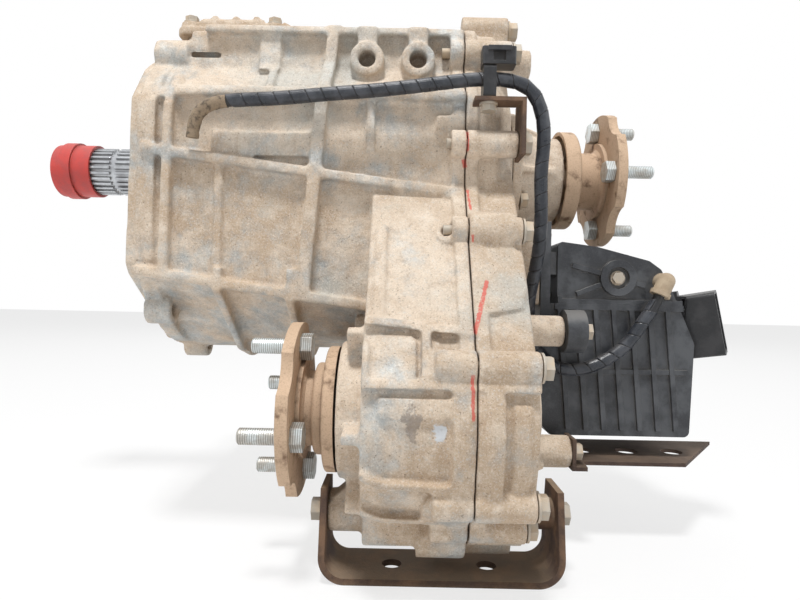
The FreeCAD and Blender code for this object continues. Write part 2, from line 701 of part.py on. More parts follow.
def make_extension():
    x0 = rear_case_end + 8.0
    parts = [cyl(extension_flange_r, x0, x0 + 9.0)]
    cone = Part.makeCone(extension_flange_r - 12.0, rear_tube_r, 26.0, V(x0 + 9.0, 0, 0), V(1, 0, 0))
    parts.append(cone)
    parts.append(cyl(rear_tube_r, x0 + 35.0, extension_end))
    for k in range(extension_bolts):
        angle = tau * k / extension_bolts
        rib = box(x0 + 6.0, extension_end - 8.0, 0.0, extension_flange_r - 12.0, -3.0, 3.0)
        top = prism([V(x0 + 6.0, 0, -3), V(x0 + 6.0, extension_flange_r - 6.0, -3), V(extension_end - 8.0, rear_tube_r + 1.0, -3),
                     V(extension_end - 8.0, 0, -3)], V(0, 0, 6))
        top.rotate(V(0, 0, 0), V(1, 0, 0), math.degrees(angle))
        parts.append(top)
    body = fuse(parts)
    holes = [cyl(rear_tube_r - 6.0, x0 - 1.0, extension_end - 18.0)]
    holes.append(cyl(rear_tube_r - 3.0, extension_end - 12.0, extension_end + 1.0))
    holes.append(cyl(rear_tube_r - 9.0, extension_end - 19.0, extension_end))
    for k in range(extension_bolts):
        angle = tau * (k + 0.5) / extension_bolts
        y = (extension_flange_r - 7.0) * math.cos(angle)
        z = (extension_flange_r - 7.0) * math.sin(angle)
        holes.append(cyl(flange_bolt_r, x0 - 1.0, x0 + 10.0, y, z))
        holes.append(cyl(9.0, x0 + 9.0, x0 + 30.0, y, z))
    return body.cut(holes).removeSplitter()


def make_bolts():
    """Three groups of case bolts, each a separate solid in its seat."""
    back = V(-1, 0, 0)
    split = []
    for y, z in split_spots:
        reach = rear_case_end - split_x + 18.0
        seat = rear_case_end
        if (y, z) == leg_bolt:
            seat += bracket_thickness + face_gap
        split.append(bolt(flange_bolt_r - 0.1, reach, 14.0, 7.0, V(seat, y, z), back))
    save("split_bolts", Part.Compound(split))
    rest = [bolt(3.9, 14.0, 13.0, 8.0, V(rear_case_end + 1.0, -60.0, top_z + 12.0), back)]
    for k in range(extension_bolts):
        angle = tau * (k + 0.5) / extension_bolts
        y = (extension_flange_r - 7.0) * math.cos(angle)
        z = (extension_flange_r - 7.0) * math.sin(angle)
        rest.append(bolt(flange_bolt_r - 0.1, 13.0, 12.0, 7.0, V(rear_case_end + 17.0, y, z), back))
    save("housing_bolts", Part.Compound(rest))
    small = [bolt(2.9, 18.0, 10.0, 6.0, V(x, y, top_z + cover_base + boss_lift), V(0, 0, -1)) for x, y in cover_bolts]
    for y, z, angle in around(retainer_bolts, retainer_bolt_r, math.pi / 4.0):
        small.append(bolt(2.9, 13.0, 10.0, 6.0, V(retainer_x, y, z), V(1, 0, 0)))
    save("cover_bolts", Part.Compound(small))
    plugs = []
    for y, z in plug_spots:
        plug = fuse([cyl(plug_r - 0.05, rear_case_end - 8.0, rear_case_end + 3.0, y, z),
                     cyl(12.5, rear_case_end + 3.0, rear_case_end + 5.0, y, z),
                     hexagon(19.0, rear_case_end + 4.5, rear_case_end + 12.0, y, z)])
        plugs.append(plug)
    save("case_plugs", Part.Compound(plugs))


boss_lift = 6.0
bracket_thickness = 3.0


def make_cover():
    x0, x1 = cover_x
    y0, y1 = cover_y
    base = box(x0, x1, y0, y1, top_z + 0.0, top_z + cover_base)
    base = base.makeFillet(9.0, [e for e in base.Edges if abs(e.BoundBox.ZLength - cover_base) < 0.01])
    parts = [base]
    dome = Part.Face(Part.makePolygon([V(x0 + 17, y0 + 6, top_z + 3), V(x1 - 17, y0 + 6, top_z + 3), V(x1 - 8, y0 + 26, top_z + 3),
                                       V(x1 - 8, y1 - 26, top_z + 3), V(x1 - 24, y1 - 8, top_z + 3), V(x0 + 20, y1 - 8, top_z + 3),
                                       V(x0 + 6, y1 - 34, top_z + 3), V(x0 + 6, y0 + 28, top_z + 3), V(x0 + 17, y0 + 6, top_z + 3)]))
    dome = dome.extrude(V(0, 0, cover_rise - 3.0))
    dome = dome.makeChamfer(4.0, [e for e in dome.Edges if e.BoundBox.ZMin > top_z + cover_rise - 0.1])
    fall = [(x1 - 30.0, top_z + cover_rise + 1.0), (x1 - 6.0, top_z + 6.0), (x1 + 5.0, top_z + 6.0), (x1 + 5.0, top_z + cover_rise + 1.0)]
    dome = dome.cut(prism_y(fall, y0, y1))
    parts.append(dome)
    for x, y in cover_bolts:
        parts.append(rod(9.0, V(x, y, top_z), V(x, y, top_z + cover_base + boss_lift)))
    for k in range(3):
        parts.append(box(x0 + 28.0 + 18.0 * k, x0 + 33.0 + 18.0 * k, y0 + 8.0, y1 - 10.0, top_z + 4.0, top_z + cover_rise + 2.0))
    body = fuse(parts)
    hx0, hx1, hy0, hy1 = cover_hole
    holes = [box(hx0 + 1.0, hx1 - 1.0, hy0 + 1.0, hy1 - 1.0, top_z - 1.0, top_z + cover_rise - 4.0)]
    for x, y in cover_bolts:
        holes.append(rod(3.0, V(x, y, top_z - 1.0), V(x, y, top_z + 20.0)))
        holes.append(rod(9.0, V(x, y, top_z + cover_base + boss_lift), V(x, y, top_z + 30.0)))
    return body.cut(holes).removeSplitter()


# ---------------------------------------------------------------- main shaft line
hub_r = 30.0
sleeve_r = 36.5
sleeve_width = 20.0
sleeve_x = 114.0
sleeve_travel = 14.0
lock_x = 202.0
lock_width = 16.0
lock_travel = 9.0
groove_depth = 3.5
groove_width = 6.5
drum_r = 76.0
rear_shaft_r = 19.0
rear_journal_r = 25.0
pilot_spigot_r = 12.0
drive_tube_r = 25.0
flange_spline_r = 15.0
flange_seal_r = 20.5
flange_neck_r = 27.0
nut_r = 17.0
planet_pin_r = 5.0
tooth_tip_share = 0.24
tooth_root_share = 0.56


def spur(count, x0, x1, y=0.0, z=0.0, turn=0.0):
    pitch_r = gear_module * count / 2.0
    return toothed(count, pitch_r - 1.2 * gear_module, pitch_r + 0.85 * gear_module, tooth_root_share, tooth_tip_share,
                   x0, x1, y, z, turn)


def ring_space(count, x0, x1, turn=0.0):
    """The toothed hollow of an internal gear: its spaces are wider than a mating tooth."""
    pitch_r = gear_module * count / 2.0
    return toothed(count, pitch_r - 0.85 * gear_module, pitch_r + 1.2 * gear_module, 0.80, 0.42, x0, x1, 0.0, 0.0, turn)


def planet_turn(angle, sun_count, count):
    """The turn that sets a planet's teeth in the spaces of a sun with a tooth at angle zero."""
    sun_step = tau / sun_count
    phase = (angle / sun_step) % 1.0
    # at the contact line the sun is phase of a tooth past; the planet rolls the other way
    step = tau / count
    return angle + math.pi + (0.5 + phase) * step


def spline_cut(radius, depth, count, x0, x1):
    return toothed(count, radius - depth, radius, 0.62, 0.40, x0, x1)


def make_input_shaft():
    spline = spline_cut(input_spline_r, input_spline_depth, input_spline_teeth, input_tip_x + 6.0, 18.0)
    tip = Part.makeCone(input_spline_r - 5.0, input_spline_r - input_spline_depth, 6.0, V(input_tip_x, 0, 0), V(1, 0, 0))
    parts = [spline, tip]
    parts.append(cyl(input_journal_r, 16.0, gear_x - 14.0))
    parts.append(cyl(input_journal_r + 5.0, bearing_seat_x + bearing_width + 0.0, gear_x - 12.0))
    parts.append(cyl(input_journal_r + 3.0, gear_x - 13.0, gear_x + gear_width + 4.0))
    parts.append(spur(sun_teeth, gear_x, gear_x + gear_width))
    parts.append(spline_cut(hub_r - running_gap, 2.4, 36, gear_x + gear_width, sleeve_x + 6.0))
    body = fuse(parts)
    holes = [cyl(pilot_spigot_r + 0.06, gear_x - 4.0, sleeve_x + 8.0)]
    holes.append(cyl(8.0, input_tip_x - 1.0, input_tip_x + 26.0))
    # clean groove in the splines where the wave of the oil ring sits
    holes.append(pipe(input_spline_r + 2.0, input_spline_r - input_spline_depth, -69.0, -64.0))
    return body.cut(holes).removeSplitter()


def make_ring_gear():
    body = cyl(ring_outer_r - 0.02, gear_x + 1.0, web_end + 2.0)
    return body.cut(ring_space(ring_teeth, gear_x - 1.0, web_end + 4.0, ring_turn))


ring_turn = math.pi / ring_teeth


def make_carrier():
    x0 = gear_x - 8.0
    x1 = gear_x + gear_width + 2.0
    parts = [cyl(carrier_r + 8.0, x0, x0 + 6.0), cyl(carrier_r + 8.0, x1, x1 + 5.0)]
    parts.append(pipe(46.0, 39.0, x1 + 4.0, x1 + 8.5))
    for y, z, angle in around(planet_count, carrier_r, math.pi / planet_count):
        parts.append(cyl(6.0, x0 + 1.0, x1 + 1.0, y, z))
    body = fuse(parts)
    holes = [cyl(input_journal_r + 3.0 + running_gap, x0 - 1.0, x0 + 8.0)]
    holes.append(cyl(sleeve_r + 0.6, x1 - 1.0, x1 + 10.0))
    for y, z, angle in around(planet_count, carrier_r):
        holes.append(cyl(planet_pin_r, x0 - 1.0, x1 + 6.0, y, z))
    return body.cut(holes).removeSplitter()


def make_planets():
    """Each planet turns on its own pin, so each is made by itself."""
    for k, (y, z, angle) in enumerate(around(planet_count, carrier_r)):
        turn = planet_turn(angle, sun_teeth, planet_teeth)
        gear = spur(planet_teeth, gear_x + 0.5, gear_x + gear_width - 0.5, y, z, turn)
        gear = gear.cut(cyl(planet_pin_r + 0.04, gear_x - 1.0, gear_x + gear_width + 1.0, y, z))
        save("planet_gear_" + str(k + 1), gear)
    pins = []
    for y, z, angle in around(planet_count, carrier_r):
        pins.append(cyl(planet_pin_r - 0.0, gear_x - 8.0, gear_x + gear_width + 7.0, y, z))
    save("planet_pins", Part.Compound(pins))


def make_sleeve(x0, width, teeth):
    body = cyl(sleeve_r, x0, x0 + width)
    middle = x0 + width / 2.0
    bore = toothed(teeth, hub_r - 2.1, hub_r + 0.2, 0.30, 0.30, x0 - 1.0, x0 + width + 1.0)
    bore = toothed(teeth, hub_r - 2.0, hub_r + 0.2, 0.72, 0.50, x0 - 1.0, x0 + width + 1.0)
    groove = pipe(sleeve_r + 1.0, sleeve_r - groove_depth, middle - groove_width / 2.0, middle + groove_width / 2.0)
    return body.cut(bore).cut(groove).removeSplitter()


hub_teeth = 36


def splined_hub(radius, x0, x1):
    return toothed(hub_teeth, radius - 2.4, radius - running_gap * 0.4, 0.62, 0.40, x0, x1)


def make_drum():
    """The differential case: a splined hub, a drum over the ring gear and a back plate."""
    parts = [splined_hub(hub_r, sleeve_x + 7.0, 150.0)]
    parts.append(cyl(hub_r - 2.4, sleeve_x + 7.0, 151.0))
    parts.append(cyl(drum_r, 149.0, 156.0))
    parts.append(pipe(drum_r, drum_r - 5.0, 155.0, 193.0))
    parts.append(cyl(drum_r, 192.0, 199.0))
    for y, z, angle in around(4, diff_carrier_r):
        parts.append(cyl(planet_pin_r, diff_x, 193.0, y, z))
    lugs = toothed(hub_teeth, hub_r - 2.4, hub_r - running_gap * 0.4, 0.62, 0.40, 198.0, lock_x + 5.0)
    parts.append(lugs)
    body = fuse(parts)
    holes = [cyl(rear_shaft_r - 1.0 + running_gap, sleeve_x + 6.0, 157.0)]
    holes.append(cyl(drive_tube_r + running_gap, 191.0, lock_x + 6.0))
    for y, z, angle in around(6, drum_r, tau / 12.0):
        window = box(162.0, 186.0, drum_r - 12.0, drum_r + 6.0, -11.0, 11.0)
        window.rotate(V(0, 0, 0), V(1, 0, 0), math.degrees(angle))
        holes.append(window)
    return body.cut(holes).removeSplitter()


def make_diff_planets():
    gears = []
    for y, z, angle in around(4, diff_carrier_r):
        turn = planet_turn(angle, diff_sun_teeth, diff_planet_teeth)
        gear = spur(diff_planet_teeth, diff_x + 0.3, diff_x + diff_width, y, z, turn)
        gears.append(gear.cut(cyl(planet_pin_r + 0.04, diff_x - 1.0, diff_x + diff_width + 1.0, y, z)))
    return Part.Compound(gears)


def make_diff_ring():
    body = cyl(drum_r - 5.5, 157.0, diff_x + diff_width + 1.0)
    space = ring_space(diff_ring_teeth, diff_x - 2.0, diff_x + diff_width + 2.0, math.pi / diff_ring_teeth)
    body = body.cut(space)
    return body.cut(cyl(rear_shaft_r, 156.0, diff_x))


def make_rear_shaft():
    parts = [cyl(pilot_spigot_r, gear_x + 2.0, sleeve_x + 9.0)]
    parts.append(cyl(rear_shaft_r - 1.0, sleeve_x + 8.5, 158.0))
    parts.append(cyl(rear_shaft_r, 157.0, 264.0))
    parts.append(cyl(rear_journal_r, 262.0, main_rear_bearing_x[1] + 1.0))
    parts.append(cyl(flange_seal_r, 287.0, extension_end - 14.0))
    parts.append(spline_cut(flange_spline_r, 1.6, 20, extension_end - 15.0, rear_flange_x - 3.0))
    parts.append(cyl(10.0, rear_flange_x - 4.0, rear_flange_x + 10.0))
    return fuse(parts)


def make_sprocket(y, z, bore, turn, hub_out):
    body = toothed(sprocket_teeth, sprocket_r - 5.6, sprocket_r - 1.0, 0.62, 0.26, sprocket_x, sprocket_x + sprocket_width, y, z, turn)
    body = body.cut(pipe(sprocket_r - 11.0, hub_out + 1.0, sprocket_x - 1.0, sprocket_x + 7.0, y, z))
    body = body.cut(pipe(sprocket_r - 11.0, hub_out + 1.0, sprocket_x + sprocket_width - 7.0, sprocket_x + sprocket_width + 1.0, y, z))
    holes = []
    for k in range(6):
        angle = tau * k / 6
        radius = (sprocket_r - 11.0 + hub_out + 1.0) / 2.0
        holes.append(cyl(5.0, sprocket_x - 1.0, sprocket_x + sprocket_width + 1.0, y + radius * math.cos(angle),
                         z + radius * math.sin(angle)))
    return body.cut(holes).cut(cyl(bore, sprocket_x - 1.0, sprocket_x + sprocket_width + 1.0, y, z))


def make_drive_group():
    """Sun gear, hollow shaft and lock splines in one piece, with the sprocket pressed on it."""
    sun = spur(diff_sun_teeth, diff_x + 0.5, diff_x + diff_width)
    parts = [sun, cyl(drive_tube_r, diff_x + diff_width - 1.0, 212.0)]
    parts.append(splined_hub(hub_r, lock_x + 5.6, lock_x + lock_width + lock_travel))
    parts.append(cyl(27.0, 211.0, sprocket_x + sprocket_width + 5.0))
    body = fuse(parts).cut(cyl(rear_shaft_r + running_gap, diff_x, sprocket_x + sprocket_width + 6.0))
    return body.removeSplitter()


def chain_path(distance):
    """Point and heading on the chain's pitch line; distance starts where the near strand leaves the main sprocket."""
    ux, uz = -math.sin(lean), -math.cos(lean)
    nx, nz = -math.cos(lean), math.sin(lean)
    strand = centre_distance
    arc = chain_pitch * sprocket_teeth / 2.0
    pitch_line = arc / math.pi
    distance = distance % (2.0 * (strand + arc))
    if distance < strand:
        return (sprocket_r * nx + ux * distance, sprocket_r * nz + uz * distance, (ux, uz))
    distance -= strand
    if distance < arc:
        turn = distance / pitch_line
        y = front_y + sprocket_r * (nx * math.cos(turn) + ux * math.sin(turn))
        z = front_z + sprocket_r * (nz * math.cos(turn) + uz * math.sin(turn))
        return y, z, None
    distance -= arc
    if distance < strand:
        return (front_y - sprocket_r * nx - ux * distance, front_z - sprocket_r * nz - uz * distance, (-ux, -uz))
    distance -= strand
    turn = distance / pitch_line
    y = sprocket_r * (-nx * math.cos(turn) - ux * math.sin(turn))
    z = sprocket_r * (-nz * math.cos(turn) - uz * math.sin(turn))
    return y, z, None


def make_chain():
    """Toothed link packs: odd links run in the middle lane, even links in the two outer lanes."""
    links = []
    inner = sprocket_width / 2.0 - 3.0
    lanes_odd = [(sprocket_x + sprocket_width / 2.0 - 3.6, sprocket_x + sprocket_width / 2.0 + 3.6)]
    lanes_even = [(sprocket_x + 1.0, sprocket_x + sprocket_width / 2.0 - 4.0),
                  (sprocket_x + sprocket_width / 2.0 + 4.0, sprocket_x + sprocket_width - 1.0)]
    for i in range(chain_links):
        ay, az, way = chain_path(i * chain_pitch)
        by, bz, way = chain_path((i + 1) * chain_pitch)
        length = math.hypot(by - ay, bz - az)
        ty, tz = (by - ay) / length, (bz - az) / length
        # outward normal
        ny, nz = tz, -ty
        profile = [(-2.4, -0.6), (-0.9, -4.2), (0.9, -4.2), (2.3, -0.7), (length - 2.3, -0.7), (length - 0.9, -4.2)]
        profile += [(length + 0.9, -4.2), (length + 2.4, -0.6), (length + 2.4, 2.2), (length + 1.2, 3.4), (-1.2, 3.4), (-2.4, 2.2)]
        outline = [(ay + ty * along + ny * out, az + tz * along + nz * out) for along, out in profile]
        lanes = lanes_odd if i % 2 else lanes_even
        for x0, x1 in lanes:
            links.append(prism_x(outline, x0, x1))
    return Part.Compound(links)


# ---------------------------------------------------------------- bearings, seals, flanges
front_journal_r = 20.0
front_tail_r = 17.5
front_hub_r = 18.0
front_seal_x = front_bearing_x[0] - 8.0


def ring_bearing(inner, outer, x0, x1, y=0.0, z=0.0):
    """A shielded bearing: outer ring with its shield, and inner ring."""
    land = (outer - inner) * 0.30
    outside = pipe(outer, inner + land + running_gap, x0, x1, y, z)
    inside = pipe(inner + land, inner, x0, x1, y, z)
    return outside, inside


def make_bearings():
    outers = []
    pair, inner_input = ring_bearing(input_journal_r, bearing_od_r, bearing_seat_x, bearing_seat_x + bearing_width)
    outers.append(pair)
    pair, inner_rear = ring_bearing(rear_journal_r, main_rear_bearing_r, main_rear_bearing_x[0], main_rear_bearing_x[1])
    outers.append(pair)
    pair, inner_a = ring_bearing(front_journal_r, front_bearing_r, front_bearing_x[0], front_bearing_x[1], front_y, front_z)
    outers.append(pair)
    pair, inner_b = ring_bearing(front_tail_r, front_rear_bearing_r, front_rear_bearing_x[0], front_rear_bearing_x[1],
                                 front_y, front_z)
    outers.append(pair)
    save("bearing_outer_rings", Part.Compound(outers))
    save("input_inner_ring", inner_input)
    save("rear_inner_ring", inner_rear)
    save("front_inner_rings", Part.Compound([inner_a, inner_b]))


def lip_seal(outer, shaft, x0, x1, y=0.0, z=0.0):
    """A pressed steel case with a lip that runs on the shaft."""
    body = pipe(outer, shaft + running_gap * 0.4, x0, x1, y, z)
    return body.cut(pipe(outer - 2.5, shaft + 4.0, x0 - 1.0, x0 + (x1 - x0) * 0.55, y, z))


def make_seals():
    seals = [lip_seal(seal_r, input_journal_r, retainer_x, retainer_x + 8.0)]
    seals.append(lip_seal(front_seal_r, front_hub_r, front_seal_x, front_bearing_x[0] - 1.0, front_y, front_z))
    rear = lip_seal(rear_tube_r - 3.0, flange_seal_r, -extension_end, -extension_end + 11.0)
    rear.rotate(V(0, 0, 0), V(0, 0, 1), 180.0)
    seals.append(rear)
    save("shaft_seals", Part.Compound(seals))


def make_retainer():
    flange = cyl(62.0, retainer_x, bell_wall_x)
    parts = [flange, cyl(bearing_od_r + 0.4, bell_wall_x - 1.0, bearing_seat_x - seat_gap)]
    for y, z, angle in around(retainer_bolts, retainer_bolt_r, math.pi / 4.0):
        parts.append(cyl(9.0, retainer_x, bell_wall_x, y, z))
    body = fuse(parts)
    holes = [cyl(seal_r, retainer_x - 1.0, retainer_x + 8.0), cyl(seal_r - 4.0, retainer_x, bearing_seat_x + 1.0)]
    for y, z, angle in around(retainer_bolts, retainer_bolt_r, math.pi / 4.0):
        holes.append(cyl(3.1, retainer_x - 1.0, bell_wall_x + 1.0, y, z))
    return body.cut(holes).removeSplitter()


def make_cap():
    """The plastic transit cap over the end of the input shaft."""
    inner = input_spline_r + 0.05
    x0 = input_tip_x - 3.0
    parts = [cyl(inner + 2.4, x0, x0 + 36.0), cyl(inner + 4.4, x0 + 8.0, x0 + 19.0)]
    body = fuse(parts)
    body = body.makeFillet(1.6, [e for e in body.Edges if e.BoundBox.XMax < x0 + 0.01 and e.BoundBox.YLength > 10.0])
    return body.cut(cyl(inner, x0 + 2.5, x0 + 40.0)).removeSplitter()


def output_flange(face_x, side, y, z, turn, neck_end, hub_end):
    """A four-lobed companion flange; side is +1 when its face looks along +X."""
    t = flange_thickness
    parts = [cyl(flange_radius, 0.0, t)]
    body = parts[0]
    scallops = []
    for sy, sz, angle in around(4, flange_radius + 17.0, math.pi / 4.0):
        scallops.append(cyl(24.0, -1.0, t + 1.0, sy, sz))
    body = body.cut(scallops)
    body = body.fuse([cyl(flange_neck_r, -neck_end, 1.0), cyl(hub_r + 6.0, -3.0, 1.0)])
    cone = Part.makeCone(flange_neck_r, hub_r + 6.0, 6.0, V(-5.0, 0, 0), V(1, 0, 0))
    body = body.fuse([cone])
    if hub_end > neck_end:
        body = body.fuse(cyl(flange_seal_r if side > 0 else front_hub_r, -hub_end, -neck_end + 1.0))
    holes = [cyl(25.0, t - 3.0, t + 1.0), cyl(nut_r + 2.0, -2.0, t + 1.0)]
    holes.append(toothed(20, flange_spline_r - 1.55, flange_spline_r + 0.05, 0.66, 0.44, -hub_end - 1.0, t))
    for sy, sz, angle in around(4, stud_pcd / 2.0):
        holes.append(cyl(stud_shoulder_r, -1.0, t + 1.0, sy, sz))
        holes.append(cyl(stud_shoulder_r + 2.8, t - stud_recess, t + 1.0, sy, sz))
    body = body.cut(holes).removeSplitter()
    return body


def flange_studs(neck):
    t = flange_thickness
    studs = []
    for sy, sz, angle in around(4, stud_pcd / 2.0):
        head = hexagon(stud_head_af, -stud_head, 0.0, sy, sz)
        shoulder = cyl(stud_shoulder_r, -0.5, t - stud_recess + 0.2, sy, sz)
        stud = fuse([head, shoulder, cyl(stud_r, t - stud_recess - 1.0, t + stud_length, sy, sz)])
        edges = [e for e in stud.Edges if e.BoundBox.XMin > t + stud_length - 0.01]
        stud = stud.makeChamfer(1.0, edges)
        studs.append(stud)
    return studs


def flange_nut():
    body = fuse([hexagon(27.0, -1.5, 10.0, 0.0, 0.0), cyl(nut_r, -2.0, 0.5)])
    return body.cut(cyl(10.0, -3.0, 12.0))


def place(shape, face_x, side, y, z, turn):
    """Stand a flange piece made with its face towards +X at its station."""
    moved = shape.copy()
    spin = FreeCAD.Rotation(V(1, 0, 0), turn)
    if side < 0:
        spin = FreeCAD.Rotation(V(0, 0, 1), 180.0).multiply(spin)
    moved.Placement = FreeCAD.Placement(V(face_x, y, z), spin)
    return moved


front_back_x = front_flange_x + flange_thickness
rear_neck = rear_flange_x - (extension_end + 15.0)
rear_hub = rear_flange_x - (extension_end - 13.0)
front_neck = 10.0
front_hub = front_bearing_x[0] - 1.0 - front_back_x


def make_flanges():
    rear = output_flange(0.0, 1, 0.0, 0.0, 0.0, rear_neck, rear_hub)
    save("rear_flange", place(rear, rear_flange_x, 1, 0.0, 0.0, 0.0))
    pieces = flange_studs(rear_neck) + [flange_nut()]
    save("rear_studs", Part.Compound([place(p, rear_flange_x, 1, 0.0, 0.0, 0.0) for p in pieces]))
    front = output_flange(0.0, -1, 0.0, 0.0, 0.0, front_neck, front_hub)
    save("front_flange", place(front, front_back_x, -1, front_y, front_z, front_flange_turn_deg))
    pieces = flange_studs(front_neck) + [flange_nut()]
    save("front_studs", Part.Compound([place(p, front_back_x, -1, front_y, front_z, front_flange_turn_deg) for p in pieces]))
    # dust deflectors
    cup = fuse([pipe(46.0, flange_seal_r, extension_end + 9.0, extension_end + 14.8),
                pipe(46.0, rear_tube_r + 2.5, extension_end + 1.0, extension_end + 10.0)])
    cup = cup.makeFillet(3.0, [e for e in cup.Edges if e.BoundBox.XMin > extension_end + 14.7 and e.BoundBox.YLength > 80.0])
    save("rear_deflector", cup)
    x0 = front_back_x + front_neck + 0.2
    small = pipe(33.0, front_hub_r, x0, x0 + 8.0, front_y, front_z)
    small = small.makeFillet(2.5, [e for e in small.Edges if e.BoundBox.YLength > 60.0])
    large = pipe(45.0, front_hub_r, x0 + 8.2, x0 + 12.5, front_y, front_z)
    large = fuse([large, pipe(45.0, 42.0, x0 + 8.2, front_bearing_x[0] - 7.5, front_y, front_z)])
    large = large.makeFillet(2.0, [e for e in large.Edges if e.BoundBox.XMax < x0 + 8.3 and e.BoundBox.YLength > 80.0])
    save("front_deflectors", Part.Compound([small, large]))


def make_front_shaft():
    parts = [cyl(10.0, front_flange_x + 1.0, front_back_x + 3.0, front_y, front_z)]
    spline = toothed(20, flange_spline_r - 1.6, flange_spline_r, 0.62, 0.40, front_back_x + 2.0, front_bearing_x[0] - 0.5,
                     front_y, front_z, -math.radians(front_flange_turn_deg))
    parts.append(spline)
    parts.append(cyl(front_journal_r, front_bearing_x[0] - 0.8, sprocket_x + sprocket_width + 2.0, front_y, front_z))
    parts.append(cyl(front_journal_r + 5.0, front_bearing_x[1], sprocket_x, front_y, front_z))
    parts.append(cyl(front_tail_r, sprocket_x + sprocket_width + 1.0, front_rear_bearing_x[1] + 0.5, front_y, front_z))
    return fuse(parts)


# ---------------------------------------------------------------- shift rails and forks
fork_thickness = 6.0
rail_front_x = web_x + 8.0
pinion_x = 356.0
pinion_r = 10.0
rack_depth = 2.2
rack_teeth = 5
pinion_teeth = 16
fork_boss_r = 12.0


def make_rail(index, start):
    """A shift rail with a rack cut in its under side."""
    y = rail_y[index]
    rail = cyl(rail_r, start, pinion_x + 8.0, y, rail_z)
    face = rail_z - rack_face
    rail = rail.cut(box(pinion_x - 22.0, pinion_x + 27.0, y - 9.0, y + 9.0, face - 9.0, face))
    step = tau * pinion_r / pinion_teeth
    teeth = []
    for k in range(-rack_teeth, 4):
        x = pinion_x + k * step + step * 0.5
        points = []
        for side, depth in ((-0.27, -0.2), (-0.12, rack_depth), (0.12, rack_depth), (0.27, -0.2)):
            points.append(V(x + step * side, y - 4.0, face - depth))
        teeth.append(prism(points, V(0, 8.0, 0)))
    racked = fuse([rail] + teeth)
    return racked.common(cyl(rail_r, start, pinion_x + 8.0, y, rail_z))


def make_pinion(index):
    """A pinion under the rail, on a cross shaft with its drive wheel."""
    y = rail_y[index]
    points = []
    step = tau / pinion_teeth
    for i in range(pinion_teeth):
        middle = i * step + math.pi / 2.0
        for radius, share in ((pinion_r - 1.5, -0.5), (pinion_r + 0.9, -0.2), (pinion_r + 0.9, 0.2), (pinion_r - 1.5, 0.5)):
            angle = middle + share * step / 2.0
            points.append(V(pinion_x + radius * math.cos(angle), y - 4.0, pinion_z + radius * math.sin(angle)))
    gear = prism(points, V(0, 8.0, 0))
    low, high, wheel = pinion_spans[index]
    shaft = rod(5.0, V(pinion_x, low, pinion_z), V(pinion_x, high, pinion_z))
    disc = rod(pinion_wheel_r, V(pinion_x, wheel, pinion_z), V(pinion_x, wheel + 5.0, pinion_z))
    return fuse([gear, shaft, disc])


rack_face = rail_r - rack_depth - 0.2
pinion_z = rail_z - rack_face - 1.1 - pinion_r - 0.15
pinion_wheel_r = 14.0
actuator_y = (-78.0, 20.0)
actuator_wall = 4.0
pinion_spans = [(actuator_y[0] + actuator_wall + seat_gap, rail_y[0] + 14.0, rail_y[0] + 8.5),
                (rail_y[1] - 6.0, actuator_y[1] - actuator_wall - seat_gap, rail_y[1] + 10.0)]


def make_fork(index, middle_x):
    """A fork that rides in the groove of its sleeve and is carried by its rail."""
    y = rail_y[index]
    reach = math.hypot(y, rail_z)
    angle = math.atan2(rail_z, y)
    inner = sleeve_r - groove_depth + 0.3
    half = fork_thickness / 2.0
    ring = pipe(sleeve_r + 7.0, inner, middle_x - half, middle_x + half)
    keep = box(middle_x - 20.0, middle_x + 20.0, -3.0, 80.0, -80.0, 80.0)
    keep.rotate(V(0, 0, 0), V(1, 0, 0), math.degrees(angle))
    ring = ring.common(keep)
    stem = box(middle_x - half, middle_x + half, inner + 2.0, reach, -9.0, 9.0)
    stem.rotate(V(0, 0, 0), V(1, 0, 0), math.degrees(angle))
    boss = cyl(fork_boss_r, middle_x - 8.0, middle_x + 8.0, y, rail_z)
    boss = boss.cut(box(middle_x - 10.0, middle_x + 10.0, -60.0, 60.0, -60.0, 60.0).common(cyl(sleeve_r + 8.0, middle_x - 10.0, middle_x + 10.0)))
    fork = fuse([ring, stem, boss])
    return fork.cut(cyl(rail_r, middle_x - 9.0, middle_x + 9.0, y, rail_z)).removeSplitter()


# ---------------------------------------------------------------- shift actuator
actuator_end = 452.0
actuator_bottom = -228.0
cover_line = -118.0
ear_end = 350.0
boss_a = rear_posts[0]
boss_c = rear_posts[1]


def housing_outline():
    return [(324.0, cover_line), (438.0, cover_line), (actuator_end, cover_line - 32.0), (actuator_end - 3.0, actuator_bottom),
            (332.0, actuator_bottom), (324.0, actuator_bottom + 10.0)]


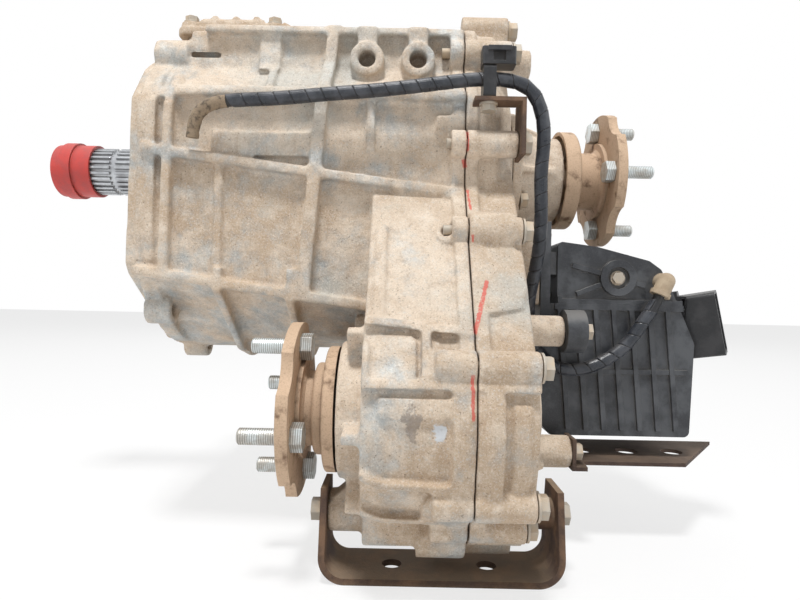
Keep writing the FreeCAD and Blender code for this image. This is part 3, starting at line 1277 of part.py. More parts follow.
def make_actuator_housing():
    y0, y1 = actuator_y
    wall = actuator_wall
    body = prism_y(housing_outline(), y0, y1)
    body = body.makeFillet(5.0, [e for e in body.Edges if e.BoundBox.YLength > 90.0 and e.BoundBox.ZMax < cover_line - 5.0])
    parts = [body]
    # mounting flange and rail tunnel
    parts.append(box(actuator_x, actuator_x + 8.0, tower_near_y, tower_far_y, cover_line - 12.0, tower_z[1]))
    parts.append(box(actuator_x + 7.0, 336.0, rail_y[0] - 9.0, rail_y[1] + 9.0, rail_z - 10.0, rail_z + 9.0))
    # rim the cover sits on
    parts.append(box(334.0, 441.0, y0 - 3.0, y1 + 3.0, cover_line - 5.0, cover_line))
    # slanted flutes on the near side
    for k in range(7):
        x = 336.0 + 15.0 * k
        flute = [(x, cover_line - 4.0), (x + 4.0, cover_line - 4.0), (x + 13.0, actuator_bottom + 5.0), (x + 9.0, actuator_bottom + 5.0)]
        if x + 13.0 < actuator_end - 4.0:
            parts.append(prism_y(flute, y0 - 3.0, y0 + 1.0))
    parts.append(box(330.0, actuator_end - 6.0, y0 - 2.0, y0 + 1.0, -176.0, -172.0))
    # the ear on the end of the blind boss
    by, bz = boss_a[0], boss_a[1]
    start = rear_case_end + boss_a[3] + seat_gap
    parts.append(cyl(17.0, start, ear_end, by, bz))
    parts.append(box(start + 2.0, ear_end, by, y0 + 1.0, bz - 12.0, bz + 12.0))
    outer = fuse(parts)
    cavity = prism_y([(324.0 + wall, cover_line + 1.0), (438.0 - wall, cover_line + 1.0), (actuator_end - wall, cover_line - 33.0),
                      (actuator_end - 3.0 - wall, actuator_bottom + wall), (334.0, actuator_bottom + wall),
                      (324.0 + wall, actuator_bottom + 12.0)], y0 + wall, y1 - wall)
    holes = [cavity, cyl(5.0, start - 1.0, ear_end + 1.0, by, bz)]
    for y in rail_y:
        holes.append(cyl(rail_r + 0.06, actuator_x - 1.0, 337.0, y, rail_z))
    for y, z in actuator_bolt_spots:
        holes.append(cyl(3.1, actuator_x - 1.0, actuator_x + 9.0, y, z))
    for x, y in cover_screws:
        holes.append(rod(2.5, V(x, y, cover_line + 1.0), V(x, y, cover_line - 4.5)))
    return outer.cut(holes).removeSplitter()


cover_screws = [(342.0, actuator_y[0] - 0.0 + 2.0), (400.0, actuator_y[0] + 2.0), (342.0, actuator_y[1] - 2.0), (400.0, actuator_y[1] - 2.0)]


def make_actuator_cover():
    y0, y1 = actuator_y
    outline = [(336.3, cover_line), (336.3, -66.0), (369.0, -70.0), (413.0, -81.0), (423.0, -88.0), (432.0, -105.0), (438.0, cover_line)]
    shell = prism_y(outline, y0, y1)
    shell = shell.makeFillet(4.0, [e for e in shell.Edges if e.BoundBox.YLength > 90.0 and e.BoundBox.ZMax > -100.0])
    wall = actuator_wall
    inner = [(340.3, cover_line - 1.0), (340.3, -71.0), (369.0, -74.5), (411.0, -85.0), (419.5, -91.0), (433.0, cover_line - 1.0)]
    parts = [shell]
    # recessed screw boss and raking ribs on the near face
    parts.append(rod(15.0, V(386.0, y0 + 1.0, -96.0), V(386.0, y0 - 5.0, -96.0)))
    for dx, dz in ((-38.0, 10.0), (-34.0, -14.0), (23.0, -6.0)):
        end_x, end_z = 386.0 + dx, -96.0 + dz
        length = math.hypot(dx, dz)
        wx, wz = -dz / length * 2.0, dx / length * 2.0
        rib = [(386.0 + wx, -96.0 + wz), (386.0 - wx, -96.0 - wz), (end_x - wx, end_z - wz), (end_x + wx, end_z + wz)]
        parts.append(prism_y(rib, y0 - 3.0, y0 + 1.0).common(prism_y(outline, y0 - 4.0, y0 + 2.0)))
    # ribs across the top
    for x in (350.0, 372.0, 394.0):
        top = [(x, cover_line + 10.0), (x, -64.5 - (x - 336.0) * 0.19), (x + 3.0, -64.5 - (x - 333.0) * 0.19), (x + 3.0, cover_line + 10.0)]
        parts.append(prism_y(top, y0 + 4.0, y1 - 4.0))
    parts.append(box(336.3, 340.0, y0 - 3.0, y1 + 3.0, cover_line, cover_line + 6.0))
    parts.append(box(336.3, 440.0, y0 - 3.0, y1 + 3.0, cover_line, cover_line + 4.0))
    outer = fuse(parts)
    holes = [prism_y(inner, y0 + wall, y1 - wall)]
    holes.append(rod(9.0, V(386.0, y0 - 6.0, -96.0), V(386.0, y0 - 1.0, -96.0)))
    holes.append(rod(2.6, V(386.0, y0 - 6.0, -96.0), V(386.0, y0 + 3.0, -96.0)))
    for y in rail_y:
        holes.append(cyl(rail_r + 0.5, 335.0, 342.0, y, rail_z))
    return outer.cut(holes).removeSplitter()


plug_turn = FreeCAD.Rotation(V(0, 1, 0), -12.0).multiply(FreeCAD.Rotation(V(0, 0, 1), -32.0))
plug_spot = V(449.0, -54.0, -137.0)
plug_half = (13.0, 27.0)
plug_depth = 34.0


def make_connector(housing):
    hy, hz = plug_half
    shell = box(-14.0, plug_depth, -hy, hy, -hz, hz)
    shell = shell.makeFillet(4.0, [e for e in shell.Edges if e.BoundBox.XLength > 30.0])
    flange = box(0.0, 4.0, -hy - 4.0, hy + 4.0, -hz - 4.0, hz + 4.0)
    flange = flange.makeFillet(5.0, [e for e in flange.Edges if e.BoundBox.XLength > 3.0 and e.BoundBox.YLength < 0.1 and e.BoundBox.ZLength < 0.1])
    body = fuse([shell, flange])
    body = body.cut(box(8.0, plug_depth + 1.0, -hy + 2.4, hy - 2.4, -hz + 2.4, hz - 2.4))
    for z in (-14.0, 0.0, 14.0):
        body = body.fuse(box(20.0, plug_depth - 4.0, hy - 0.5, hy + 1.6, z - 1.5, z + 1.5))
    body.Placement = FreeCAD.Placement(plug_spot, plug_turn)
    trimmed = body.cut(housing).cut(box(300.0, actuator_end - 4.0, actuator_y[0], actuator_y[1], -230.0, -60.0))
    return max(trimmed.Solids, key=lambda s: s.Volume)


def make_pins():
    pins = []
    for z in (-15.0, 0.0, 15.0):
        for y in (-4.6, 4.6):
            pin = box(8.0, 24.0, y - 1.6, y + 1.6, z - 0.6, z + 0.6)
            pin.Placement = FreeCAD.Placement(plug_spot, plug_turn)
            pins.append(pin)
    return Part.Compound(pins)


def make_actuator_bolts():
    bolts = [bolt(3.0, 10.0, 10.0, 5.0, V(actuator_x + 8.0, y, z), V(-1, 0, 0)) for y, z in actuator_bolt_spots]
    bolts.append(bolt(2.5, 3.5, 9.0, 4.0, V(386.0, actuator_y[0] - 1.0, -96.0), V(0, 1, 0)))
    return Part.Compound(bolts)


# ---------------------------------------------------------------- guard strap and guard plate
strap_corner = 18.0
plate_thickness = 3.0
plate_z = -245.5


def make_strap():
    x0, x1 = strap_x
    y0 = strap_y - strap_width / 2.0
    top = strap_bolt_z + 20.0
    t = strap_thickness
    outer = box(x0, x1, y0, y0 + strap_width, strap_bottom_z, top)
    outer = outer.makeFillet(strap_corner, [e for e in outer.Edges if e.BoundBox.YLength > strap_width - 0.1
                                            and e.BoundBox.ZMax < strap_bottom_z + 0.1])
    inner = box(x0 + t, x1 - t, y0 - 1.0, y0 + strap_width + 1.0, strap_bottom_z + t, top + 10.0)
    inner = inner.makeFillet(strap_corner - t, [e for e in inner.Edges if e.BoundBox.YLength > strap_width
                                                and e.BoundBox.ZMax < strap_bottom_z + t + 0.1])
    strap = outer.cut(inner)
    # the legs narrow to rounded ends at the bolts
    for side in (-1.0, 1.0):
        corner = [V(x0 - 1.0, strap_y + side * 17.0, top + 1.0), V(x0 - 1.0, strap_y + side * 40.0, top + 1.0),
                  V(x0 - 1.0, strap_y + side * 40.0, strap_bolt_z - 22.0), V(x0 - 1.0, strap_y + side * 25.0, strap_bolt_z - 22.0)]
        strap = strap.cut(prism(corner, V(x1 - x0 + 2.0, 0, 0)))
    strap = strap.cut(cyl(5.2, x0 - 1.0, x1 + 1.0, strap_y, strap_bolt_z))
    middle = (x0 + x1) / 2.0
    for x in (middle - 34.0, middle + 34.0):
        strap = strap.cut(rod(7.0, V(x, strap_y, strap_bottom_z - 1.0), V(x, strap_y, strap_bottom_z + t + 1.0)))
    return strap.removeSplitter()


def make_plate():
    by, bz = boss_c[0], boss_c[1]
    x0 = rear_case_end + boss_c[3] + face_gap
    t = plate_thickness
    outline = [(x0, by - 12.0), (x0 + 12.0, by - 12.0), (x0 + 14.0, -94.0), (439.0, -94.0), (500.0, -15.0), (358.0, -15.0), (x0, by + 13.0)]
    plate = prism([V(x, y, plate_z - t) for x, y in outline], V(0, 0, t))
    tab = box(x0, x0 + t, by - 12.0, by + 13.0, plate_z - t, bz + 12.0)
    body = fuse([plate, tab])
    holes = [cyl(5.2, x0 - 1.0, x0 + t + 1.0, by, bz)]
    for x in (366.0, 405.0, 445.0):
        holes.append(rod(9.0, V(x, -56.0, plate_z - t - 1.0), V(x, -56.0, plate_z + 1.0)))
    return body.cut(holes).removeSplitter()


def make_bracket_bolts():
    by, bz = boss_c[0], boss_c[1]
    spot = rear_case_end + boss_c[3] + face_gap + plate_thickness
    pieces = [bolt(4.9, 15.0, 12.0, 7.0, V(spot, by, bz), V(-1, 0, 0))]
    pieces.append(bolt(4.9, 29.0, 12.0, 7.0, V(ear_end, boss_a[0], boss_a[1]), V(-1, 0, 0)))
    pieces.append(bolt(4.9, 24.0, 14.0, 8.0, V(strap_x[0], strap_y, strap_bolt_z), V(1, 0, 0)))
    pieces.append(bolt(4.9, 34.0, 14.0, 8.0, V(strap_x[1], strap_y, strap_bolt_z), V(-1, 0, 0)))
    pieces.append(bolt(2.9, 7.5, 10.0, 6.0, V(268.0, hose_y, bracket_z), V(0, 0, 1)))
    return Part.Compound(pieces)


# ---------------------------------------------------------------- breather hose and its clip
hose_r = 4.75
hose_y = -131.0
bracket_z = 30.0
hose_points = [
    (46.0, -127.0, 1.0), (47.0, -128.5, 14.0), (57.0, -130.5, 25.0), (77.0, -132.0, 28.5), (108.0, -131.5, 30.0),
    (146.0, -131.0, 34.5), (186.0, -131.5, 38.0), (226.0, -131.0, 43.5), (254.0, -131.0, 47.8), (281.0, -131.0, 48.6),
    (300.0, -131.0, 43.0), (309.5, -129.0, 24.0), (311.5, -126.0, 3.0), (310.0, -122.0, -20.0), (312.0, -119.0, -45.0),
    (313.0, -113.0, -70.0), (312.0, -103.0, -92.0), (310.0, -92.0, -112.0), (310.5, -85.2, -133.0), (315.0, -84.6, -152.0),
    (326.0, -86.5, -166.0), (341.0, -88.5, -173.0), (357.0, -88.5, -171.5), (372.0, -88.0, -165.5), (386.0, -88.5, -156.0),
    (397.0, -88.0, -144.0), (405.0, -88.5, -130.0), (413.0, -88.0, -120.0), (417.5, -88.0, -110.0),
]


def hose_solid():
    spots = [V(*p) for p in hose_points]
    cuts = []
    for i in range(1, len(spots) - 1):
        back = spots[i - 1].sub(spots[i])
        ahead = spots[i + 1].sub(spots[i])
        turn = math.pi - back.getAngle(ahead)
        radius = 0.45 * min(back.Length, ahead.Length) / math.tan(turn / 2.0)
        half = back.getAngle(ahead) / 2.0
        reach = radius / math.tan(half)
        back.normalize()
        ahead.normalize()
        bisector = back.add(ahead)
        bisector.normalize()
        middle = spots[i].add(bisector * (radius / math.sin(half) - radius))
        cuts.append((spots[i].add(back * reach), middle, spots[i].add(ahead * reach), radius))
    edges = []
    here = spots[0]
    for first, middle, last, radius in cuts:
        edges.append(Part.LineSegment(here, first).toShape())
        edges.append(Part.Arc(first, middle, last).toShape())
        here = last
    edges.append(Part.LineSegment(here, spots[-1]).toShape())
    path = Part.Wire(edges)
    way = spots[1].sub(spots[0])
    ring = Part.Wire([Part.makeCircle(hose_r, spots[0], way)])
    tube = path.makePipeShell([ring], True, False)
    print("hose radii", [round(c[3]) for c in cuts])
    print("hose length", round(path.Length, 1), "volume share", round(tube.Volume / (math.pi * hose_r ** 2 * path.Length), 4))
    return tube


def make_boot():
    end = V(*hose_points[-1])
    way = end.sub(V(*hose_points[-2]))
    way.normalize()
    top = end.add(way * 13.0)
    stub = rod(7.0, end, top)
    cuff = rod(8.2, end, end.add(way * 3.5))
    elbow = Part.makeSphere(7.0, top)
    arm = rod(7.0, top, V(top.x, actuator_y[0], top.z))
    return fuse([stub, cuff, elbow, arm])


def make_clip():
    saddle = box(263.0, 272.5, hose_y - 7.5, hose_y + 7.5, bracket_z + 3.0, 57.0)
    saddle = saddle.makeFillet(2.5, [e for e in saddle.Edges if e.BoundBox.XLength > 9.0])
    middle = hose_solid_cut()
    saddle = saddle.cut(middle).cut(rod(3.0, V(268.0, hose_y, 30.0), V(268.0, hose_y, 42.0)))
    head = box(262.0, 287.0, hose_y - 8.0, hose_y + 6.0, 57.0, 70.0)
    head = head.makeFillet(2.0, [e for e in head.Edges if e.BoundBox.ZLength > 12.0])
    head = head.cut(box(270.0, 279.0, hose_y - 9.0, hose_y - 5.0, 59.5, 66.5))
    head = fuse([head, box(266.0, 283.0, hose_y - 9.5, hose_y - 7.5, 66.5, 70.0)])
    return Part.Compound([saddle, head])


def hose_solid_cut():
    """The room for the hose through the clip."""
    low = V(*hose_points[8])
    high = V(*hose_points[9])
    way = high.sub(low)
    way.normalize()
    return rod(hose_r + seat_gap + 0.2, low.sub(way * 5.0), high.add(way * 5.0))


def make_hose_bracket():
    t = bracket_thickness
    x1 = rear_case_end + face_gap + t
    y0 = hose_y - 8.0
    flat = box(257.0, x1, y0, near_wall_y - 10.8, bracket_z, bracket_z + t)
    leg = box(rear_case_end + face_gap, x1, y0, near_wall_y + 1.0, leg_bolt[1] - 11.0, bracket_z + t)
    body = fuse([flat, leg])
    holes = [cyl(4.1, rear_case_end - 1.0, x1 + 1.0, leg_bolt[0], leg_bolt[1])]
    holes.append(rod(3.1, V(268.0, hose_y, bracket_z - 1.0), V(268.0, hose_y, bracket_z + t + 1.0)))
    return body.cut(holes).removeSplitter()


# ---------------------------------------------------------------- write every piece
save("front_case", make_front_case())
save("rear_case", make_rear_case())
save("rear_extension", make_extension())
save("top_cover", make_cover())
make_bolts()
save("input_shaft", make_input_shaft())
save("shaft_cap", make_cap())
save("input_retainer", make_retainer())
make_seals()
make_bearings()
save("ring_gear", make_ring_gear())
save("planet_carrier", make_carrier())
make_planets()
save("high_low_sleeve", make_sleeve(sleeve_x, sleeve_width, hub_teeth))
save("lock_sleeve", make_sleeve(lock_x, lock_width, hub_teeth))
save("differential_case", make_drum())
save("differential_planets", make_diff_planets())
save("differential_ring", make_diff_ring())
save("rear_output_shaft", make_rear_shaft())
save("front_drive_shaft", make_drive_group())
save("drive_sprocket", make_sprocket(0.0, 0.0, 27.0, near_normal + tau / sprocket_teeth / 2.0, 33.0))
save("driven_sprocket", make_sprocket(front_y, front_z, front_journal_r, near_normal, 26.0))
save("drive_chain", make_chain())
save("front_output_shaft", make_front_shaft())
make_flanges()
save("high_low_rail", make_rail(0, rail_front_x))
save("lock_rail", make_rail(1, rail_front_x))
save("high_low_fork", make_fork(0, sleeve_x + sleeve_width / 2.0))
save("lock_fork", make_fork(1, lock_x + lock_width / 2.0))
save("high_low_pinion", make_pinion(0))
save("lock_pinion", make_pinion(1))
housing = make_actuator_housing()
save("actuator_housing", housing)
save("actuator_cover", make_actuator_cover())
save("actuator_connector", make_connector(housing))
save("actuator_pins", make_pins())
save("actuator_bolts", make_actuator_bolts())
save("actuator_motor", cyl(26.0, 340.0, 432.0, -30.0, actuator_bottom + actuator_wall + 26.0 + seat_gap))
save("guard_strap", make_strap())
save("strap_spacer", pipe(11.0, 5.05, rear_case_end + 8.0, strap_x[1] - strap_thickness, strap_y, strap_bolt_z))
save("guard_plate", make_plate())
save("bracket_bolts", make_bracket_bolts())
save("breather_hose", hose_solid())
save("hose_boot", make_boot())
save("hose_clip", make_clip())
save("hose_bracket", make_hose_bracket())
print("facets", sum(totals))
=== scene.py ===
# %% [markdown]
# # A used transfer case
# A transfer case takes the gearbox's turning and shares it between a front and a rear propeller
# shaft. This one has a dusty aluminium case, two forged flanges, a shift motor in a black plastic
# housing, a breather hose in a spiral wrap and a rusty guard strap.
#
# The solid model comes in as a fixed frame. It already has the true sizes and the true shapes of
# castings, bolts and gears. What it lacks is surface: dust, rust, casting grain, soft edges. This
# lesson adds those, and remakes the pieces that a plain solid can't show.

import math

import bpy
from mathutils import Matrix, Vector


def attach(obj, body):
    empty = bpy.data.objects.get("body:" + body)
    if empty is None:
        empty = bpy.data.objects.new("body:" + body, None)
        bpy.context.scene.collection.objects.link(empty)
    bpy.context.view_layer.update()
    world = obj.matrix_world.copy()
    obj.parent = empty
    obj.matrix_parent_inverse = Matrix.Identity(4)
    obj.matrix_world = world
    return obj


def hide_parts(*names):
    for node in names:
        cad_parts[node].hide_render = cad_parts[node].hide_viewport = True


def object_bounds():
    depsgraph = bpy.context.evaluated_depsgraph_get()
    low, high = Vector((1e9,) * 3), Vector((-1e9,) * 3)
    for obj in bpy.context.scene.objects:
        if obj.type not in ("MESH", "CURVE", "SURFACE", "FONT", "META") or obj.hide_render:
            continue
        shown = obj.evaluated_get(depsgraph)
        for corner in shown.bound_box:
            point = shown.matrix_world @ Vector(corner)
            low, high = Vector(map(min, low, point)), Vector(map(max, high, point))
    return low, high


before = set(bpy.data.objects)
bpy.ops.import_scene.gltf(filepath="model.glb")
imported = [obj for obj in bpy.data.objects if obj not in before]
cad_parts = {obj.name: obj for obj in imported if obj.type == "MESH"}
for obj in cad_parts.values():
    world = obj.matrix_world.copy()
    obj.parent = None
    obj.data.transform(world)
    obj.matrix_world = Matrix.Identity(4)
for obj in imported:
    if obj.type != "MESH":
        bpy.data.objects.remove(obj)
cad_box = [list(corner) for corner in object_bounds()]
size_text = " x ".join(f"{high - low:.3f}" for low, high in zip(*cad_box))
print("nodes", len(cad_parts), "size", size_text)

# %% [markdown]
# ## The camera
# The case is looked at from its left side, level, with the lens near the middle of the case and
# only about half a metre away. So near a lens makes the near parts look large, which is why the
# distance matters more than the zoom. The camera leans by a little over one degree.

# %% Camera
eye = bpy.data.objects.new("eye", bpy.data.cameras.new("eye"))
bpy.context.scene.collection.objects.link(eye)
eye.data.lens = 26.46
eye.data.sensor_width = 36.0
eye.data.clip_start = 0.02
eye_place = (0.205, -0.570, -0.118)
eye_lean = 0.021
upright = Matrix.Rotation(math.pi / 2, 4, "X")
eye.matrix_world = Matrix.Translation(eye_place) @ upright @ Matrix.Rotation(eye_lean, 4, "Z")
bpy.context.scene.camera = eye
print("camera", tuple(round(v, 3) for v in eye.location))

# %% [markdown]
# ## The breather hose
# A case that warms up has to breathe, and it does so through a hose that is led up high. Here the
# hose starts at a rubber boot on the shift motor's housing, loops under a boss, climbs the rear
# half of the case and runs along the top through a clip. A hose is one smooth line, so it is a
# NURBS curve with a round bevel. The order and the end rule are set after the points.

# %% Hose line
hose_radius = 0.00475
hose_route = [
    (0.0460, -0.1270, 0.0010), (0.0470, -0.1285, 0.0140), (0.0570, -0.1305, 0.0250),
    (0.0770, -0.1320, 0.0285), (0.1080, -0.1315, 0.0300), (0.1460, -0.1310, 0.0345),
    (0.1860, -0.1315, 0.0380), (0.2260, -0.1310, 0.0435), (0.2540, -0.1310, 0.0478),
    (0.2810, -0.1310, 0.0486), (0.3000, -0.1310, 0.0430), (0.3095, -0.1290, 0.0240),
    (0.3115, -0.1260, 0.0030), (0.3100, -0.1220, -0.0200), (0.3120, -0.1190, -0.0450),
    (0.3130, -0.1130, -0.0700), (0.3120, -0.1030, -0.0920), (0.3100, -0.0920, -0.1120),
    (0.3105, -0.0852, -0.1330), (0.3150, -0.0846, -0.1520), (0.3260, -0.0865, -0.1660),
    (0.3410, -0.0885, -0.1730), (0.3570, -0.0885, -0.1715), (0.3720, -0.0880, -0.1655),
    (0.3860, -0.0885, -0.1560), (0.3970, -0.0880, -0.1440), (0.4050, -0.0885, -0.1300),
    (0.4130, -0.0880, -0.1200), (0.4175, -0.0880, -0.1100),
]


def hose_curve(name, tube_radius):
    """The hose as a curve. Its box reaches each point's radius, so the tube's radius is kept there."""
    curve = bpy.data.curves.new(name, "CURVE")
    curve.dimensions = "3D"
    curve.resolution_u = 10
    curve.bevel_depth = 1.0 if tube_radius else 0.0
    curve.bevel_resolution = 5
    line = curve.splines.new("NURBS")
    line.points.add(len(hose_route) - 1)
    for point, place in zip(line.points, hose_route):
        point.co = (*place, 1.0)
        point.radius = tube_radius
    line.order_u = 3
    line.use_endpoint_u = True
    piece = bpy.data.objects.new(name, curve)
    bpy.context.scene.collection.objects.link(piece)
    return piece


hose_shrink = 0.0004
hose = hose_curve("hose_tube", hose_radius - hose_shrink)
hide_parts("breather_hose")
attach(hose, "case")

# %% Read the line of the hose back, for what follows it
bare_line = hose_curve("hose_line", 0.0)
bare_mesh = bpy.data.meshes.new_from_object(bare_line)
hose_line = [v.co.copy() for v in bare_mesh.vertices]
bpy.data.objects.remove(bare_line)
hose_length = sum((b - a).length for a, b in zip(hose_line, hose_line[1:]))
print("hose length", round(hose_length, 4), "points", len(hose_line))

# %% [markdown]
# ## Meshes
# Small pieces are built from rings of points. One helper lofts rings into a skin, and one carries
# a frame along a line without twisting it, which keeps a wrapped tape even round bends.

# %% Mesh helpers
def add_piece(name, points, faces, body, slot_name, smooth=True):
    mesh = bpy.data.meshes.new(name)
    mesh.from_pydata(points, [], faces)
    mesh.update()
    if smooth:
        mesh.shade_smooth()
    piece = bpy.data.objects.new(name, mesh)
    bpy.context.scene.collection.objects.link(piece)
    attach(piece, body)
    return piece


def skin(rings, closed_ends=True):
    count = len(rings[0])
    points = [p for ring in rings for p in ring]
    faces = []
    for i in range(len(rings) - 1):
        for j in range(count):
            k = (j + 1) % count
            faces.append((i * count + j, i * count + k, (i + 1) * count + k, (i + 1) * count + j))
    if closed_ends:
        faces.append(tuple(reversed(range(count))))
        faces.append(tuple(range(len(points) - count, len(points))))
    return points, faces


def walk(line, step):
    """Points, directions and untwisted side vectors every step metres along a line."""
    spots, ways, sides = [], [], []
    travelled, wanted = 0.0, 0.0
    side = Vector((0.0, 0.0, 1.0))
    for a, b in zip(line, line[1:]):
        reach = (b - a).length
        while reach > 0 and wanted <= travelled + reach:
            way = (b - a).normalized()
            side = (side - way * side.dot(way)).normalized()
            spots.append(a + way * (wanted - travelled))
            ways.append(way)
            sides.append(side.copy())
            wanted += step
        travelled += reach
    return spots, ways, sides


# %% [markdown]
# ## The spiral wrap
# The hose is guarded by a plastic tape wound round it in a helix, with a fine gap between turns.
# It is a flat ribbon: at each step round the helix four points make the ribbon's section, and the
# skin joins them. The first part of the hose has no wrap, and its own dusty rubber shows.

# %% Spiral wrap
wrap_pitch = 0.0118
wrap_width = 0.0113
wrap_thick = 0.0008
wrap_round = 0.0006
wrap_round_drop = 0.00025
tape_sink = 0.0004
turn_steps = 20
wrap_start, wrap_end = 0.040, hose_length - 0.004
fine_step = 0.0005
spots, ways, sides = walk(hose_line, fine_step)


def on_hose(distance, angle, radius):
    """A point at a distance along the hose, at an angle round it."""
    i = max(0, min(len(spots) - 1, int(distance / fine_step)))
    j = min(len(spots) - 1, i + 1)
    share = min(1.0, max(0.0, distance / fine_step - i))
    centre = spots[i].lerp(spots[j], share)
    up = sides[i]
    across = ways[i].cross(up)
    return centre + (up * math.cos(angle) + across * math.sin(angle)) * radius


low = hose_radius - tape_sink
high = hose_radius + wrap_thick - tape_sink
tape_section = (
    (0.0, low),
    (0.0, high - wrap_round_drop),
    (wrap_round, high),
    (wrap_width - wrap_round, high),
    (wrap_width, high - wrap_round_drop),
    (wrap_width, low),
)
rings = []
steps = int((wrap_end - wrap_start - wrap_width) / wrap_pitch * turn_steps)
for k in range(steps):
    angle = math.tau * k / turn_steps
    start = wrap_start + wrap_pitch * k / turn_steps
    rings.append([on_hose(start + along, angle, radius) for along, radius in tape_section])
hose_wrap = add_piece("hose_wrap", *skin(rings), "case", "hose_rubber", smooth=False)
print("wrap turns", round(steps / turn_steps, 1), "faces", len(hose_wrap.data.polygons))

# %% [markdown]
# The free end is open. A short rolled lip inside it gives the tube its wall.

# %% Hose mouth
mouth_sides = 24
mouth_profile = (
    (0.010, 0.0030),
    (0.0008, 0.0030),
    (0.0, 0.0034),
    (-0.0002, 0.0040),
    (0.0002, 0.0045),
    (0.0012, 0.0047),
    (0.004, 0.0045),
)
rings = []
for along, radius in mouth_profile:
    turns = [math.tau * j / mouth_sides for j in range(mouth_sides)]
    rings.append([on_hose(0.0, turn, radius) + ways[0] * along for turn in turns])
hose_mouth = add_piece("hose_mouth", *skin(rings, closed_ends=False), "case", "hose_rubber")

# %% Bare end of the hose
end_rings = 45
end_sides = 20
under_wrap = 0.003
end_radius = 0.0047
end_unevenness = 0.0002
rings = []
for k in range(end_rings):
    along = wrap_start * k / 44.0 + under_wrap * k / 44.0
    fat = end_radius + end_unevenness * math.sin(along * 900.0) * math.sin(along * 333.0)
    rings.append([on_hose(along, math.tau * j / end_sides, fat) for j in range(end_sides)])
hose_end = add_piece("hose_end", *skin(rings, closed_ends=False), "case", "hose_rubber")

# %% [markdown]
# ## Soft castings
# Molten metal doesn't fill a sharp corner, so a sand casting has rounded edges and a fillet in
# every inner corner. The solids have sharp ones. A voxel remesh turns a solid into an even skin,
# a few smoothing passes round both kinds of corner alike, and a decimate throws away the points
# that the flats don't need. Bevelling edge by edge would be sharper work, but it fails where many
# ribs cross. A little noise then keeps the large faces from looking machined.

# %% Soften a casting
from mathutils import noise


def casting_wave(place, wave):
    """How far a point of the cast skin lies off the smooth one."""
    return noise.noise(place * 45.0) * wave + noise.noise(place * 160.0) * wave * 0.5 - wave


def soften(node_name, voxel, passes, keep, wave):
    piece = bpy.data.objects.new(node_name + "_skin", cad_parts[node_name].data.copy())
    bpy.context.scene.collection.objects.link(piece)
    weld = piece.modifiers.new("weld", "WELD")
    weld.merge_threshold = 0.00001
    remesh = piece.modifiers.new("even", "REMESH")
    remesh.mode = "VOXEL"
    remesh.voxel_size = voxel
    smooth = piece.modifiers.new("round", "SMOOTH")
    smooth.factor = 0.5
    smooth.iterations = passes
    thin = piece.modifiers.new("thin", "DECIMATE")
    thin.ratio = keep
    evaluated = piece.evaluated_get(bpy.context.evaluated_depsgraph_get())
    skin_mesh = bpy.data.meshes.new_from_object(evaluated)
    piece.modifiers.clear()
    piece.data = skin_mesh
    normals = [v.normal.copy() for v in skin_mesh.vertices]
    moved = []
    for v, normal in zip(skin_mesh.vertices, normals):
        moved.extend(v.co + normal * casting_wave(v.co, wave))
    skin_mesh.vertices.foreach_set("co", moved)
    skin_mesh.update()
    skin_mesh.materials.clear()
    skin_mesh.shade_smooth()
    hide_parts(node_name)
    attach(piece, "case")
    print(node_name, "faces", len(skin_mesh.polygons))
    return piece


smoothing_passes = 7
casting_waviness = 0.00018
castings = {}
for node_name, voxel, keep in (
    ("front_case", 0.0015, 0.30),
    ("rear_case", 0.0015, 0.30),
    ("rear_extension", 0.0013, 0.40),
    ("top_cover", 0.0013, 0.40),
):
    castings[node_name] = soften(node_name, voxel, smoothing_passes, keep, casting_waviness)

# %% [markdown]
# ## Shader maths that reads like maths
# A finish is a small tree of nodes. Wiring each Math node by hand hides the idea, so one class
# wraps an output and gives it plus, minus, times and powers. `1 - mask` then adds its own node.
# Every other node comes from one method that takes its type, its settings and its inputs.

# %% Expressions on sockets
class Wire:
    def __init__(self, finish, socket):
        self.finish = finish
        self.socket = socket

    def math(self, operation, first, second=0.0):
        return self.finish.node("ShaderNodeMath", {"operation": operation}, {0: first, 1: second})

    def __add__(self, other):
        return self.math("ADD", self, other)

    def __sub__(self, other):
        return self.math("SUBTRACT", self, other)

    def __mul__(self, other):
        return self.math("MULTIPLY", self, other)

    def __truediv__(self, other):
        return self.math("DIVIDE", self, other)

    def __pow__(self, other):
        return self.math("POWER", self, other)

    def __rsub__(self, other):
        return self.math("SUBTRACT", other, self)

    __radd__ = __add__
    __rmul__ = __mul__

    def __abs__(self):
        return self.math("ABSOLUTE", self)

    def sine(self):
        return self.math("SINE", self)

    def ramp(self, low, high):
        """0 below low, 1 above high, smooth between."""
        limits = {"Value": self, "From Min": low, "From Max": high}
        return self.finish.node("ShaderNodeMapRange", {"interpolation_type": "SMOOTHSTEP"}, limits)

    def most(self, other):
        return self.math("MAXIMUM", self, other)


